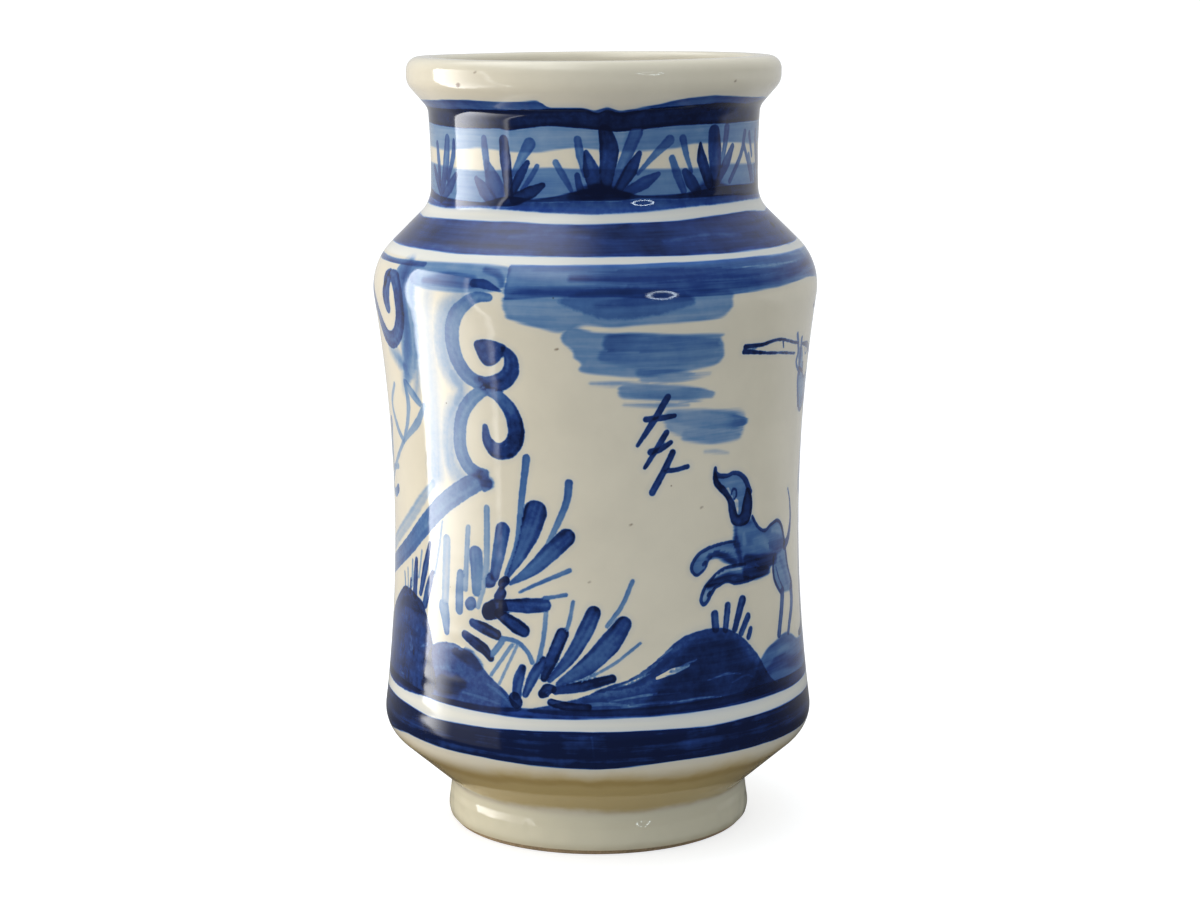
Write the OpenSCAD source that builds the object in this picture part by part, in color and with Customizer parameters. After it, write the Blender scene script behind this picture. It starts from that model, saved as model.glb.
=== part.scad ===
// Waisted pharmacy jar of tin-glazed earthenware, banded in cobalt blue.
// A foot ring, a body and a neck of clay are luted together with slip, glazed inside and out,
// and the bands are colour sunk into the outer glaze. Sizes are over the glaze, in millimetres.

/* [Clay and glaze] */
// Thickness of the clay in the body's wall
clay_t = 5; // [3.5:0.1:7]
// Thickness of the clay in the neck
neck_clay_t = 3.6; // [2.8:0.1:4.6]
// Thickness of the clay floor
floor_t = 7; // [5:0.5:9]
// Thickness of the glaze on either side
glaze_t = 0.6; // [0.4:0.05:0.9]
// Depth of a painted band in the outer glaze
paint_t = 0.25; // [0.15:0.05:0.35]
// Thickness of the slip between two sections
slip_t = 0.8; // [0.4:0.1:1.2]

/* [Foot] */
// Diameter of the foot at its widest
foot_d = 79.6; // [72:0.2:88]
// Diameter of the foot where it stands
foot_base_d = 78; // [70:0.2:84]
// Diameter at the foot's top, where the body starts
foot_top_d = 77.4; // [70:0.2:86]
// Height of the foot ring
foot_h = 11; // [8:0.5:15]
// Height of the foot's widest level
foot_toe_h = 3; // [2.4:0.1:5]
// Width of the foot ring at its top, where it is luted to the body
foot_w = 7.2; // [5:0.1:10]
// Height of bare clay under the glaze's lower edge
bare_h = 1.4; // [1:0.1:2]
// Rounding of the foot's widest level
foot_round = 5; // [2:0.5:9]
// Rounding of the clay's edge on the table
edge_round = 0.8; // [0.4:0.1:0.9]
// Rounding in the corner between foot and body
foot_cove = 1.6; // [0.5:0.1:3]

/* [Body] */
// Height of the cone from the foot to the lower corner
taper_h = 15.7; // [12:0.1:22]
// Height of the waisted wall, between its two corners
body_h = 119.9; // [100:0.1:160]
// Diameter at the shoulder corner, before rounding
shoulder_d = 116.4; // [108:0.2:126]
// How much less the radius is at the lower corner, before rounding
belly_step = 1.6; // [-1:0.1:4]
// How far the waist is drawn in from a straight wall
waist_sag = 4.55; // [1:0.05:7]
// Rounding of the lower corner
belly_round = 9; // [4:0.5:12]
// Rounding of the shoulder corner
shoulder_round = 16; // [6:0.5:18]
// Least rounding of the corners inside
inside_round = 6; // [3:0.5:9]

/* [Neck] */
// Height of the sloped shoulder
shoulder_rise = 15.9; // [13:0.1:20]
// Height of the neck, up to the rim
neck_h = 24; // [20:0.5:32]
// Diameter at the neck's root
neck_d = 84; // [78:0.2:90]
// Diameter at the neck's top, under the rim
neck_top_d = 84.6; // [78:0.2:90]
// How far the neck is drawn in between root and top
neck_sag = 0.35; // [0.1:0.05:0.8]
// Rounding in the corner between shoulder and neck
neck_cove = 9; // [1:0.5:10]

/* [Rim] */
// Height of the rolled rim
rim_h = 12.7; // [11:0.1:17]
// Diameter of the rim
rim_d = 95.4; // [92:0.2:104]
// Height of the rim's sloped underside
lip_rise = 6.2; // [4:0.2:7]
// Rounding in the corner under the rim
rim_cove = 4; // [2:0.5:5]
// Rounding of the rim's lower edge
lip_under = 4.5; // [1:0.5:5]
// Rounding of the rim's upper edge
lip_round = 4.4; // [2:0.2:5]
// Rounding of the lip's inner edge
lip_in_round = 2.5; // [1:0.1:3]
// How far the mouth opens out above the neck, on each side
flare_w = 3.6; // [2:0.2:5]
// Depth of the opened mouth, from the lip's crest
flare_h = 13; // [9:0.5:16]

/* [Painted bands] */
// Height of the band above the lower corner
base_band_h = 8.5; // [5:0.5:12]
// Clear glaze between the lower corner's level and that band
base_gap = 1.8; // [0.6:0.1:4]
// Height of the sky's band at the top of the wall
sky_band_h = 7.5; // [4:0.5:10]
// How far that band starts below the shoulder corner's level
sky_drop = 2.6; // [2:0.1:6]
// Height of the shoulder's band
shoulder_band_h = 7.5; // [5:0.5:8.5]
// Clear line between those two bands
line_w = 1.5; // [0.8:0.1:2]
// Height of the ground band at the neck's root
ground_band_h = 5; // [3:0.5:8]
// Clear glaze under the ground band
ground_gap = 1.5; // [0.8:0.1:3]
// Height of the band under the rim
lip_band_h = 4.5; // [3:0.5:6]
// How far that band starts below the rim
lip_drop = 2.5; // [1:0.5:5]

/* [Hidden] */

// Number of straight stretches along the waist and along the neck
waist_steps = 12;
neck_steps = 4;
// Turn of one stretch of a rounded corner, in degrees
corner_step = 7.5;
// Share of a side that one rounding may use: where its other end is rounded too, and where it is not
shared_side = 0.5;
whole_side = 0.98;
// Corners that turn less than this, in degrees, stay as they are
least_turn = 1;

// Levels, from the table up
belly_z = foot_h + taper_h;
shoulder_z = belly_z + body_h;
neck_z = shoulder_z + shoulder_rise;
rim_z = neck_z + neck_h;
jar_h = rim_z + rim_h;
floor_z = foot_h + floor_t + glaze_t;
base_band_z = belly_z + base_gap;
sky_band_z = shoulder_z - sky_drop;
shoulder_band_z = sky_band_z + sky_band_h + line_w;
ground_band_z = neck_z + ground_gap;
lip_band_z = rim_z - lip_drop;

// Thicknesses and radii that follow from the sizes above
wall_t = clay_t + 2 * glaze_t;
belly_r = shoulder_d / 2 - belly_step;
recess_r = foot_top_d / 2 - foot_w;
bore_r = (neck_d + neck_top_d) / 4 - neck_sag - neck_clay_t - 2 * glaze_t;
mouth_r = bore_r + flare_w;
crest_r = (rim_d / 2 - lip_round + mouth_r + lip_in_round) / 2;
reach = max(2 * belly_r, shoulder_d, rim_d);

// Unit vector from a to b, and the same turned a quarter to the left
function along(a, b) = (b - a) / norm(b - a);
function left(v) = [-v[1], v[0]];
function place(c) = [c[0], c[1]];
function reversed(list) = [for (i = [len(list) - 1 : -1 : 0]) list[i]];

// Corners between a and b on a curve that bows by sag to the left of the way from a to b
function bowed(a, b, sag, steps) = [
    for (i = [1 : steps - 1])
        let (t = i / steps, p = a + (b - a) * t + left(along(a, b)) * sag * 4 * t * (1 - t))
        [p[0], p[1], 0]
];

// A corner is [radius from the axis, height, rounding]. The clay lies to the left of the way along them.
outer_corners = concat(
    [[foot_base_d / 2, 0, 0]],
    [[foot_d / 2, foot_toe_h, foot_round]],
    [[foot_top_d / 2, foot_h, foot_cove]],
    [[belly_r, belly_z, belly_round]],
    bowed([belly_r, belly_z], [shoulder_d / 2, shoulder_z], waist_sag, waist_steps),
    [[shoulder_d / 2, shoulder_z, shoulder_round]],
    [[neck_d / 2, neck_z, neck_cove]],
    bowed([neck_d / 2, neck_z], [neck_top_d / 2, rim_z], neck_sag, neck_steps),
    [[neck_top_d / 2, rim_z, rim_cove]],
    [[rim_d / 2, rim_z + lip_rise, lip_under]],
    [[rim_d / 2, jar_h, lip_round]],
    [[crest_r, jar_h, 0]]
);
belly_at = 3;
shoulder_at = belly_at + waist_steps;

// Corners moved by d into the clay. An end slides along the level or the upright that it lies on.
function end_inset(p, n, d) = abs(n[0]) > abs(n[1]) ? [p[0] + d / n[0], p[1]] : [p[0], p[1] + d / n[1]];
function turn_inset(p, n, m, d) = p + (n + m) * d / (1 + n * m);
function new_round(r, n, m, d) = r == 0 ? 0 : cross(n, m) > 0 ? max(r - d, 0) : r + d;
function inset(c, d) = [
    for (i = [0 : len(c) - 1])
        let (
            last = len(c) - 1,
            n = left(along(place(c[max(i - 1, 0)]), place(c[max(i, 1)]))),
            m = left(along(place(c[min(i, last - 1)]), place(c[min(i + 1, last)]))),
            p = i == 0 || i == last ? end_inset(place(c[i]), n, d) : turn_inset(place(c[i]), n, m, d)
        )
        [p[0], p[1], new_round(c[i][2], n, m, d)]
];

// Points of the corner at b, between a and c, rounded as far as its two sides allow
function side_room(b, a) = norm(place(a) - place(b)) * (a[2] > 0 ? shared_side : whole_side);
function rounded_corner(a, b, c) =
    let (
        u = along(place(b), place(a)),
        v = along(place(b), place(c)),
        half = acos(max(-1, min(1, u * v))) / 2,
        r = 180 - 2 * half < least_turn ? 0 : min(b[2], min(side_room(b, a), side_room(b, c)) * tan(half))
    )
    r == 0 ? [place(b)] : arc_points(place(b), u, v, half, r);
function arc_points(b, u, v, half, r) =
    let (
        centre = b + (u + v) / norm(u + v) * r / sin(half),
        from = b + u * r / tan(half) - centre,
        start = atan2(from[1], from[0]),
        sweep = (cross(u, v) > 0 ? -1 : 1) * (180 - 2 * half),
        steps = ceil(abs(sweep) / corner_step)
    )
    [for (i = [0 : steps]) let (t = start + sweep * i / steps) centre + r * [cos(t), sin(t)]];
function rounded(c) = concat(
    [place(c[0])],
    [for (i = [1 : len(c) - 2]) each rounded_corner(c[i - 1], c[i], c[i + 1])],
    [place(c[len(c) - 1])]
);

// Inside of the jar, from the lip's crest down to the middle of the floor
wall = inset(outer_corners, wall_t);
shoulder_run = (shoulder_d - neck_d) / 2;
taper_run = belly_r - foot_top_d / 2;
neck_in_z = wall[shoulder_at][1] + (wall[shoulder_at][0] - bore_r) * shoulder_rise / shoulder_run;
floor_r = wall[belly_at][0] - (wall[belly_at][1] - floor_z) * taper_run / taper_h;
inner_corners = concat(
    [[crest_r, jar_h, 0]],
    [[mouth_r, jar_h, lip_in_round]],
    [[bore_r, jar_h - flare_h, inside_round]],
    [[bore_r, neck_in_z, inside_round]],
    [
        for (i = [shoulder_at : -1 : belly_at])
            [wall[i][0], wall[i][1], wall[i][2] > 0 ? max(wall[i][2], inside_round) : 0]
    ],
    [[floor_r, floor_z, inside_round]],
    [[0, floor_z, 0]]
);

// Outline of the whole clay body, under both coats of glaze
clay_outer = inset(outer_corners, glaze_t);
clay_inner = inset(inner_corners, glaze_t);
clay_outline = concat(
    rounded(concat(
        [[recess_r, 0, 0]],
        [[clay_outer[0][0], 0, edge_round]],
        [for (i = [1 : len(clay_outer) - 1]) clay_outer[i]]
    )),
    rounded(clay_inner),
    [[0, foot_h], [recess_r, foot_h]]
);

// Half a jar's section turned about the axis
module turned() {
    rotate_extrude($fn = 180) children();
}

// Everything between two levels
module between(low, high) {
    translate([0, low]) square([reach, high - low]);
}

// Layer of the surface along corners, depth thick
module layer(corners, depth) {
    polygon(concat(rounded(corners), reversed(rounded(inset(corners, depth)))));
}

// Section of the clay between two levels
module clay(low, high) {
    turned() intersection() {
        polygon(clay_outline);
        between(low, high);
    }
}

// Section of a painted band, h high from its lower edge at z
module band_section(z, h) {
    intersection() {
        layer(outer_corners, paint_t);
        between(z, z + h);
    }
}

module foot_ring() {
    color("burlywood") clay(0, foot_h - slip_t);
}

module foot_slip() {
    color("wheat") clay(foot_h - slip_t, foot_h);
}

module body_wall() {
    color("burlywood") clay(foot_h, neck_z);
}

module neck_slip() {
    color("wheat") clay(neck_z, neck_z + slip_t);
}

module neck_collar() {
    color("burlywood") clay(neck_z + slip_t, jar_h);
}

module inner_glaze() {
    color("ivory") turned() layer(inner_corners, glaze_t);
}

module outer_glaze() {
    color("ivory") turned() difference() {
        intersection() {
            layer(outer_corners, glaze_t);
            between(bare_h, jar_h);
        }
        band_section(base_band_z, base_band_h);
        band_section(sky_band_z, sky_band_h);
        band_section(shoulder_band_z, shoulder_band_h);
        band_section(ground_band_z, ground_band_h);
        band_section(lip_band_z, lip_band_h);
    }
}

module base_band() {
    color("midnightblue") turned() band_section(base_band_z, base_band_h);
}

module sky_band() {
    color("royalblue") turned() band_section(sky_band_z, sky_band_h);
}

module shoulder_band() {
    color("darkslateblue") turned() band_section(shoulder_band_z, shoulder_band_h);
}

module ground_band() {
    color("midnightblue") turned() band_section(ground_band_z, ground_band_h);
}

module lip_band() {
    color("midnightblue") turned() band_section(lip_band_z, lip_band_h);
}

foot_ring();
foot_slip();
body_wall();
neck_slip();
neck_collar();
inner_glaze();
outer_glaze();
base_band();
sky_band();
shoulder_band();
ground_band();
lip_band();
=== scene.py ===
"""Waisted pharmacy jar of tin-glazed earthenware, painted in cobalt: glaze, brushwork and stage."""

import functools
import math

import bpy
import numpy as np
from mathutils import Matrix, Vector


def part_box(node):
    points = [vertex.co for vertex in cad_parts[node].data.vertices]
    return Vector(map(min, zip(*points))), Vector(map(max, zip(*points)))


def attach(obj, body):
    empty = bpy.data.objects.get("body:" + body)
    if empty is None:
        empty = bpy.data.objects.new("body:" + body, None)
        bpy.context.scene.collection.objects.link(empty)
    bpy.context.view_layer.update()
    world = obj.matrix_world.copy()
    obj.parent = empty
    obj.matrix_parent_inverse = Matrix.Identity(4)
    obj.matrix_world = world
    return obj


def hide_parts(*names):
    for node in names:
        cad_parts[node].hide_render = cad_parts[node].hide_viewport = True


bl_info = {
    "name": "Painted pharmacy jar",
    "version": (1, 0, 0),
    "blender": (4, 5, 0),
    "location": "View3D > Sidebar > Jar",
    "description": "Glazes, paints and stages a waisted pharmacy jar around its packed solids",
    "category": "Object",
}

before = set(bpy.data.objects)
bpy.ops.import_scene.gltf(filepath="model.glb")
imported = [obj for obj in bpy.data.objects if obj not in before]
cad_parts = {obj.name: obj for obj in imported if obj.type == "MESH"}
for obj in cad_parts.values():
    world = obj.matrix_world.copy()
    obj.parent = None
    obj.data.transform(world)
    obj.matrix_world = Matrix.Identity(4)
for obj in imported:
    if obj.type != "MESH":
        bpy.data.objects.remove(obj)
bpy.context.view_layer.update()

MM = 1000.0

# Columns round the jar, a multiple of four, and the spacing of rows along the profile, in millimetres
COLUMNS = 816
ROW_STEP = 0.43
# The same for the foot's coat, which has little paint, and for the plain lining
FOOT_STEP = 0.55
LINING_STEP = 0.8
LINING_COLUMNS = 272
# Spacing of the points that the profile is worked out at, in millimetres, and over how many it is eased
FINE_STEP = 0.1
PROFILE_EASE = 2.5
# Points on a side of the profile and on the arc of a corner
SIDE_POINTS, ARC_POINTS = 121, 61
# Distance under which two points are the same, in millimetres
SAME_SPOT = 1e-6
# Share of a side that a rounding may take where the side's other end is rounded too, and where it is sharp
SHARED_SIDE, OWN_SIDE = 0.5, 0.98
# Levels where the coats meet, in millimetres: the last is inside the mouth
FOOT_TOP, LOW_TOP, MIDDLE_TOP, WALL_TOP = 20.0, 58.0, 98.0, 137.0
SHOULDER_TOP, NECK_TOP, RIM_END = 156.0, 183.5, 190.0
# How far the lining stays from the floor's middle, in millimetres
LINING_GAP = 0.5
# Slow waves round the jar: height in millimetres, number in a turn, phase, and the millimetres along the
# profile that shift them by a radian
SLOW_WAVES = ((0.07, 2, 0.6, 55), (0.05, 3, -1.1, -38), (0.03, 5, 0.0, 23))
# Height of the throwing ridges outside and inside, in millimetres
RIDGE = 0.009
INNER_RIDGE = 0.1
# How far the two sets of ridges climb in a turn, in millimetres
RIDGE_CLIMB = 6.5
CROSS_CLIMB = 4.1
# Depth of a coat's back under its face, in millimetres, and its number of rows
COAT_DEPTH = 0.4
BACK_ROWS = 14
# Margins of the strips on the bake map, as shares of its width and of a strip's height
STRIP_SIDE = 0.004
STRIP_EDGE = 0.015
# Depth that stands for no paint at all, and how far round a stroke the paint is worked out, in millimetres
FAR = 2.5
PAINT_REACH = FAR + 1.0
# Lift that takes rows inside the mouth out of the paint's reach, in millimetres
OUT_OF_REACH = 500.0
# Layers of paint, from the first laid to the last
LAYERS = ("wash", "broad", "mist", "shade", "scroll", "leaf", "line", "speck")
# How much darker two strokes of a layer make each other, and how deep both must be for all of it
OVERLAP_GAIN = 0.35
OVERLAP_DEPTH = 0.5
# Share of a stroke's length over which its brush runs dry
DRY_SHARE = 0.45
# How far the edge of a wet and of a dry stroke draws in at its start and at its end, in millimetres
WET_ENDS = (0.0, 0.0)
DRY_ENDS = (0.3, 0.5)
# How much more it draws in between the hairs
DRY_HAIRS = 0.9
# Spacing of the points along a stroke, in millimetres
STROKE_STEP = 0.35
# How far strokes and patches may bulge past their given points, as shares of their size
STROKE_BULGE = 0.15
PATCH_BULGE = 0.08
# How far a band's edge wanders where the photograph does not show it, in millimetres, at least and at most
WANDER = (0.2, 0.45)
# Spacing of its points there, and how far they stay from the known ones, in degrees
WANDER_STEP, WANDER_GAP = 13.0, 16.0
# Spacing in degrees at which a band's edge is worked out, and over how many such steps it is eased
RING_STEP, RING_EASE = 0.25, 4.0
# Width of a degree on the wall and on the neck, in millimetres
WALL_DEGREE = 0.942
NECK_DEGREE = 0.733
# Loads of cobalt, from a thin wash to the full brush
PALE, MID, DEEP, DARK = 0.22, 0.5, 0.65, 0.82
# How strongly the hairs of the brush show in each layer, in the order of the layers
HAIRS = dict(zip(LAYERS, (0.2, 0.2, 0.1, 0.16, 0.14, 0.14, 0.08, 0.0)))
# Widths of the hairs' traces in millimetres, and how far they drift along a stroke
HAIR_WIDTHS = (4.3, 2.4, 1.45)
HAIR_DRIFT = 2.5
# How bright the glaze mirrors the room in front of the jar, behind it and above it, and the skylight
FRONT_MIRROR, BACK_MIRROR, TOP_MIRROR, SKYLIGHT = 0.05, 0.6, 0.12, 2.4
# Share of the floor's light that the glaze does not mirror
FLOOR_UNMIRRORED = 0.97
# How much rougher the glaze is where it is dullest
DULLING = 0.04
# Levels and half widths, in millimetres, of the clear lines between the bands, where the glaze is whitest
CLEAR_LINES = ((38.6, 3.4), (152.2, 1.8), (161.8, 2.8))
# Levels in metres over which the thin glaze, whose brown is partly painted shade, and the brown line in it,
# partly a painted shade line along a corner, start and end, and over which the foot's pale glaze and its worn
# edge end
THIN_START, THIN_END = (0.0106, 0.0134), (0.0226, 0.0282)
LINE_START, LINE_END = (0.0202, 0.0224), (0.0226, 0.0246)
FOOT_END, WORN_END = (0.0095, 0.0115), (0.0005, 0.0035)
# Where the strap frame has its middle, in degrees
FRAME_MIDDLE = -92.0
# Place of the camera in metres, and how far its picture is shifted, as a share of the picture's width
CAMERA_PLACE = (0.0, -0.688, 0.218)
CAMERA_SHIFT = 0.0031


def length(name, description, default):
    """A size in metres."""
    return bpy.props.FloatProperty(
        name=name, description=description, default=default, unit="LENGTH", precision=5
    )


def tint(name, description, default):
    """A colour in linear light."""
    return bpy.props.FloatVectorProperty(
        name=name, description=description, default=default, subtype="COLOR", size=3, min=0.0, max=1.0
    )


def amount(name, description, default):
    """A plain number."""
    return bpy.props.FloatProperty(name=name, description=description, default=default, min=0.0)


def slant(name, description, degrees):
    """An angle, given in degrees."""
    return bpy.props.FloatProperty(
        name=name, description=description, default=math.radians(degrees), subtype="ANGLE"
    )


class JarSizes(bpy.types.PropertyGroup):
    """Sizes of the turned profile, over the glaze."""

    foot_base_d: length("Foot base", "Diameter of the foot where it stands", 0.078)
    foot_d: length("Foot", "Diameter of the foot at its widest", 0.0796)
    foot_toe_h: length("Foot toe", "Height of the foot's widest level", 0.003)
    foot_round: length("Foot rounding", "Rounding of the foot's widest level", 0.005)
    foot_top_d: length("Foot top", "Diameter where the body starts", 0.0774)
    foot_h: length("Foot height", "Height of the foot ring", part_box("foot_slip")[1][2])
    foot_cove: length("Foot cove", "Rounding between foot and body", 0.0016)
    bare_h: length("Bare edge", "Height of bare clay under the glaze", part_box("outer_glaze")[0][2])
    taper_h: length("Taper", "Height of the cone above the foot", 0.0157)
    body_h: length("Wall", "Height of the waisted wall", 0.1199)
    shoulder_d: length("Shoulder", "Diameter at the shoulder corner", 0.1164)
    belly_step: length("Belly step", "How much less the radius is at the lower corner", 0.0016)
    waist_sag: length("Waist", "How far the waist is drawn in", 0.00455)
    belly_round: length("Belly rounding", "Rounding of the lower corner", 0.009)
    shoulder_round: length("Shoulder rounding", "Rounding of the shoulder corner", 0.016)
    inside_round: length("Inside rounding", "Least rounding inside", 0.006)
    neck_z: length("Neck root", "Level of the neck's root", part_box("neck_slip")[0][2])
    neck_h: length("Neck", "Height of the neck", 0.024)
    neck_d: length("Neck width", "Diameter at the neck's root", 0.084)
    neck_top_d: length("Neck top", "Diameter under the rim", 0.0846)
    neck_sag: length("Neck waist", "How far the neck is drawn in", 0.00035)
    neck_cove: length("Neck cove", "Rounding between shoulder and neck", 0.009)
    jar_h: length("Height", "Height of the jar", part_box("outer_glaze")[1][2])
    rim_d: length("Rim", "Diameter of the rim", 0.0954)
    lip_rise: length("Lip rise", "Height of the rim's sloped underside", 0.0062)
    rim_cove: length("Rim cove", "Rounding under the rim", 0.004)
    lip_under: length("Lip underside", "Rounding of the rim's lower edge", 0.0045)
    lip_round: length("Lip rounding", "Rounding of the rim's upper edge", 0.0044)
    lip_in_round: length("Lip inside", "Rounding of the lip's inner edge", 0.0025)
    bore_r: length("Bore", "Radius of the mouth inside the neck", 0.037)
    flare_w: length("Flare", "How far the mouth opens out on each side", 0.0036)
    flare_h: length("Flare depth", "Depth of the opened mouth", 0.013)
    wall_t: length("Wall thickness", "Clay and both glazes of the wall", 0.0062)
    floor_z: length("Floor", "Level of the floor inside", 0.0186)


class JarColours(bpy.types.PropertyGroup):
    """Colours and finish of clay, glaze and cobalt."""

    glaze: tint("Glaze", "Cream-white tin glaze", (0.82, 0.74, 0.58))
    clear_line: tint("Clear line", "Glaze in the clear lines between the bands", (0.81, 0.785, 0.70))
    # Brown of the glaze on the downward-facing cone: partly thin glaze, partly painted shade and warm bounce
    # light
    thin_glaze_and_shade: tint("Thin glaze", "Glaze where it ran thin over the clay", (0.56, 0.405, 0.15))
    foot_glaze: tint("Foot glaze", "Paler glaze on the foot", (0.86, 0.80, 0.61))
    # Brown line across the cone: partly a painted shade line along its lower corner
    run_and_shade_line: tint("Run line", "Brown line where the thin glaze starts", (0.42, 0.28, 0.09))
    stain: tint("Iron speck", "Brown speck in the glaze", (0.16, 0.08, 0.03))
    cobalt_pale: tint("Pale cobalt", "What a thin wash lets through", (0.35, 0.53, 0.92))
    cobalt_soft: tint("Soft cobalt", "What a full wash lets through", (0.165, 0.345, 0.77))
    cobalt_mid: tint("Mid cobalt", "What a single brushful lets through", (0.08, 0.21, 0.63))
    cobalt_deep: tint("Deep cobalt", "What a loaded brush lets through", (0.022, 0.07, 0.37))
    cobalt_dark: tint("Dark cobalt", "What the thickest paint lets through", (0.004, 0.010, 0.060))
    clay: tint("Clay", "Fired buff earthenware", (0.56, 0.40, 0.24))
    slip: tint("Slip", "Fired slip", (0.60, 0.46, 0.30))
    roughness: amount("Gloss roughness", "Roughness of the glaze", 0.07)


class JarStage(bpy.types.PropertyGroup):
    """Light and camera."""

    room: amount("Room light", "Light from all sides", 0.5)
    ceiling: amount("Ceiling light", "Light that comes from above more than from the sides", 1.05)
    room_tint: tint("Room tint", "Colour of the light from all sides", (0.88, 0.94, 1.0))
    window: amount("Window", "Brightness of the window at the left", 2.3)
    window_mirror: amount("Window mirrored", "Brightness of the window where the glaze mirrors it", 7.8)
    window_tint: tint("Window tint", "Colour of the window's light", (1.0, 0.95, 0.87))
    ring: amount("Ring lamp", "Brightness of the ring lamp where the glaze mirrors it", 22.0)
    ring_tint: tint("Ring tint", "Colour of the ring lamp", (0.80, 0.93, 1.0))
    floor: tint("Floor", "Colour of the floor", (0.54, 0.54, 0.54))
    lift: amount("Floor lift", "White added to the floor where the camera sees it", 0.7)
    lens: amount("Lens", "Focal length in millimetres", 80.3)
    pitch: slant("Pitch", "How far the camera looks down", 9.95)
    lean: slant("Lean", "How far the camera is turned about its view", -0.34)


# Profile


def unit(vector):
    """A vector of length one."""
    return vector / np.linalg.norm(vector)


def left_of(vector):
    """The vector turned a quarter to the left."""
    return np.array([-vector[1], vector[0]])


def measured(way):
    """Distance along a polyline from its start to each of its points."""
    steps = np.linalg.norm(np.diff(way, axis=0), axis=1)
    return np.concatenate([[0.0], np.cumsum(steps)])


def respaced(way, distances):
    """Points of a polyline at given distances along it."""
    run = measured(way)
    return np.column_stack([np.interp(distances, run, way[:, 0]), np.interp(distances, run, way[:, 1])])


def bowed_side(start, end, sag):
    """Way from start to end that bows by sag to its left in the middle: a parabola."""
    t = np.linspace(0.0, 1.0, SIDE_POINTS)[:, None]
    return start + (end - start) * t + left_of(unit(end - start)) * sag * 4 * t * (1 - t)


def corner_arc(start, corner, end):
    """Circular arc that touches both sides of a corner: the rational curve of second degree over
    the corner, whose middle weight is the cosine of half the turn."""
    turn = float(unit(corner - start) @ unit(end - corner))
    weight = math.sqrt((1 + turn) / 2)
    t = np.linspace(0.0, 1.0, ARC_POINTS)[:, None]
    first, middle, last = (1 - t) ** 2, 2 * weight * t * (1 - t), t**2
    return (first * start + middle * corner + last * end) / (first + middle + last)


def turned_way(corners):
    """Way along corners (radius, height, rounding, sag of the side that follows). Each corner gives way
    to an arc whose touching length is the rounding times the tangent of half the turn, as far as half
    of a side between two roundings, or nearly all of another, leaves room."""
    spots = [np.array(corner[:2], float) for corner in corners]
    sides = [bowed_side(spots[i], spots[i + 1], corners[i][3]) for i in range(len(spots) - 1)]
    runs = [measured(side)[-1] for side in sides]
    reach = np.zeros(len(spots))
    for i in range(1, len(spots) - 1):
        ahead = unit(sides[i - 1][-1] - sides[i - 1][-2])
        after = unit(sides[i][1] - sides[i][0])
        half_turn = math.acos(max(-1.0, min(1.0, float(ahead @ after)))) / 2
        before_room = runs[i - 1] * (SHARED_SIDE if corners[i - 1][2] > 0 else OWN_SIDE)
        after_room = runs[i] * (SHARED_SIDE if corners[i + 1][2] > 0 else OWN_SIDE)
        reach[i] = min(corners[i][2] * math.tan(half_turn), before_room, after_room)
    stretches = [
        respaced(side, np.linspace(reach[i], runs[i] - reach[i + 1], SIDE_POINTS))
        for i, side in enumerate(sides)
    ]
    way = [stretches[0]]
    for i in range(1, len(spots) - 1):
        way.append(corner_arc(stretches[i - 1][-1], spots[i], stretches[i][0]))
        way.append(stretches[i])
    way = np.vstack(way)
    kept = np.concatenate([[True], np.linalg.norm(np.diff(way, axis=0), axis=1) > SAME_SPOT])
    return way[kept]


def eased(values, width):
    """Values averaged with a bell of the given width, in samples, the ends held."""
    reach = int(3 * width)
    bell = np.exp(-0.5 * (np.arange(-reach, reach + 1) / width) ** 2)
    before = 2 * values[0] - values[reach:0:-1]
    after = 2 * values[-1] - values[-2 : -reach - 2 : -1]
    return np.convolve(np.concatenate([before, values, after]), bell / bell.sum(), "valid")


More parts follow.
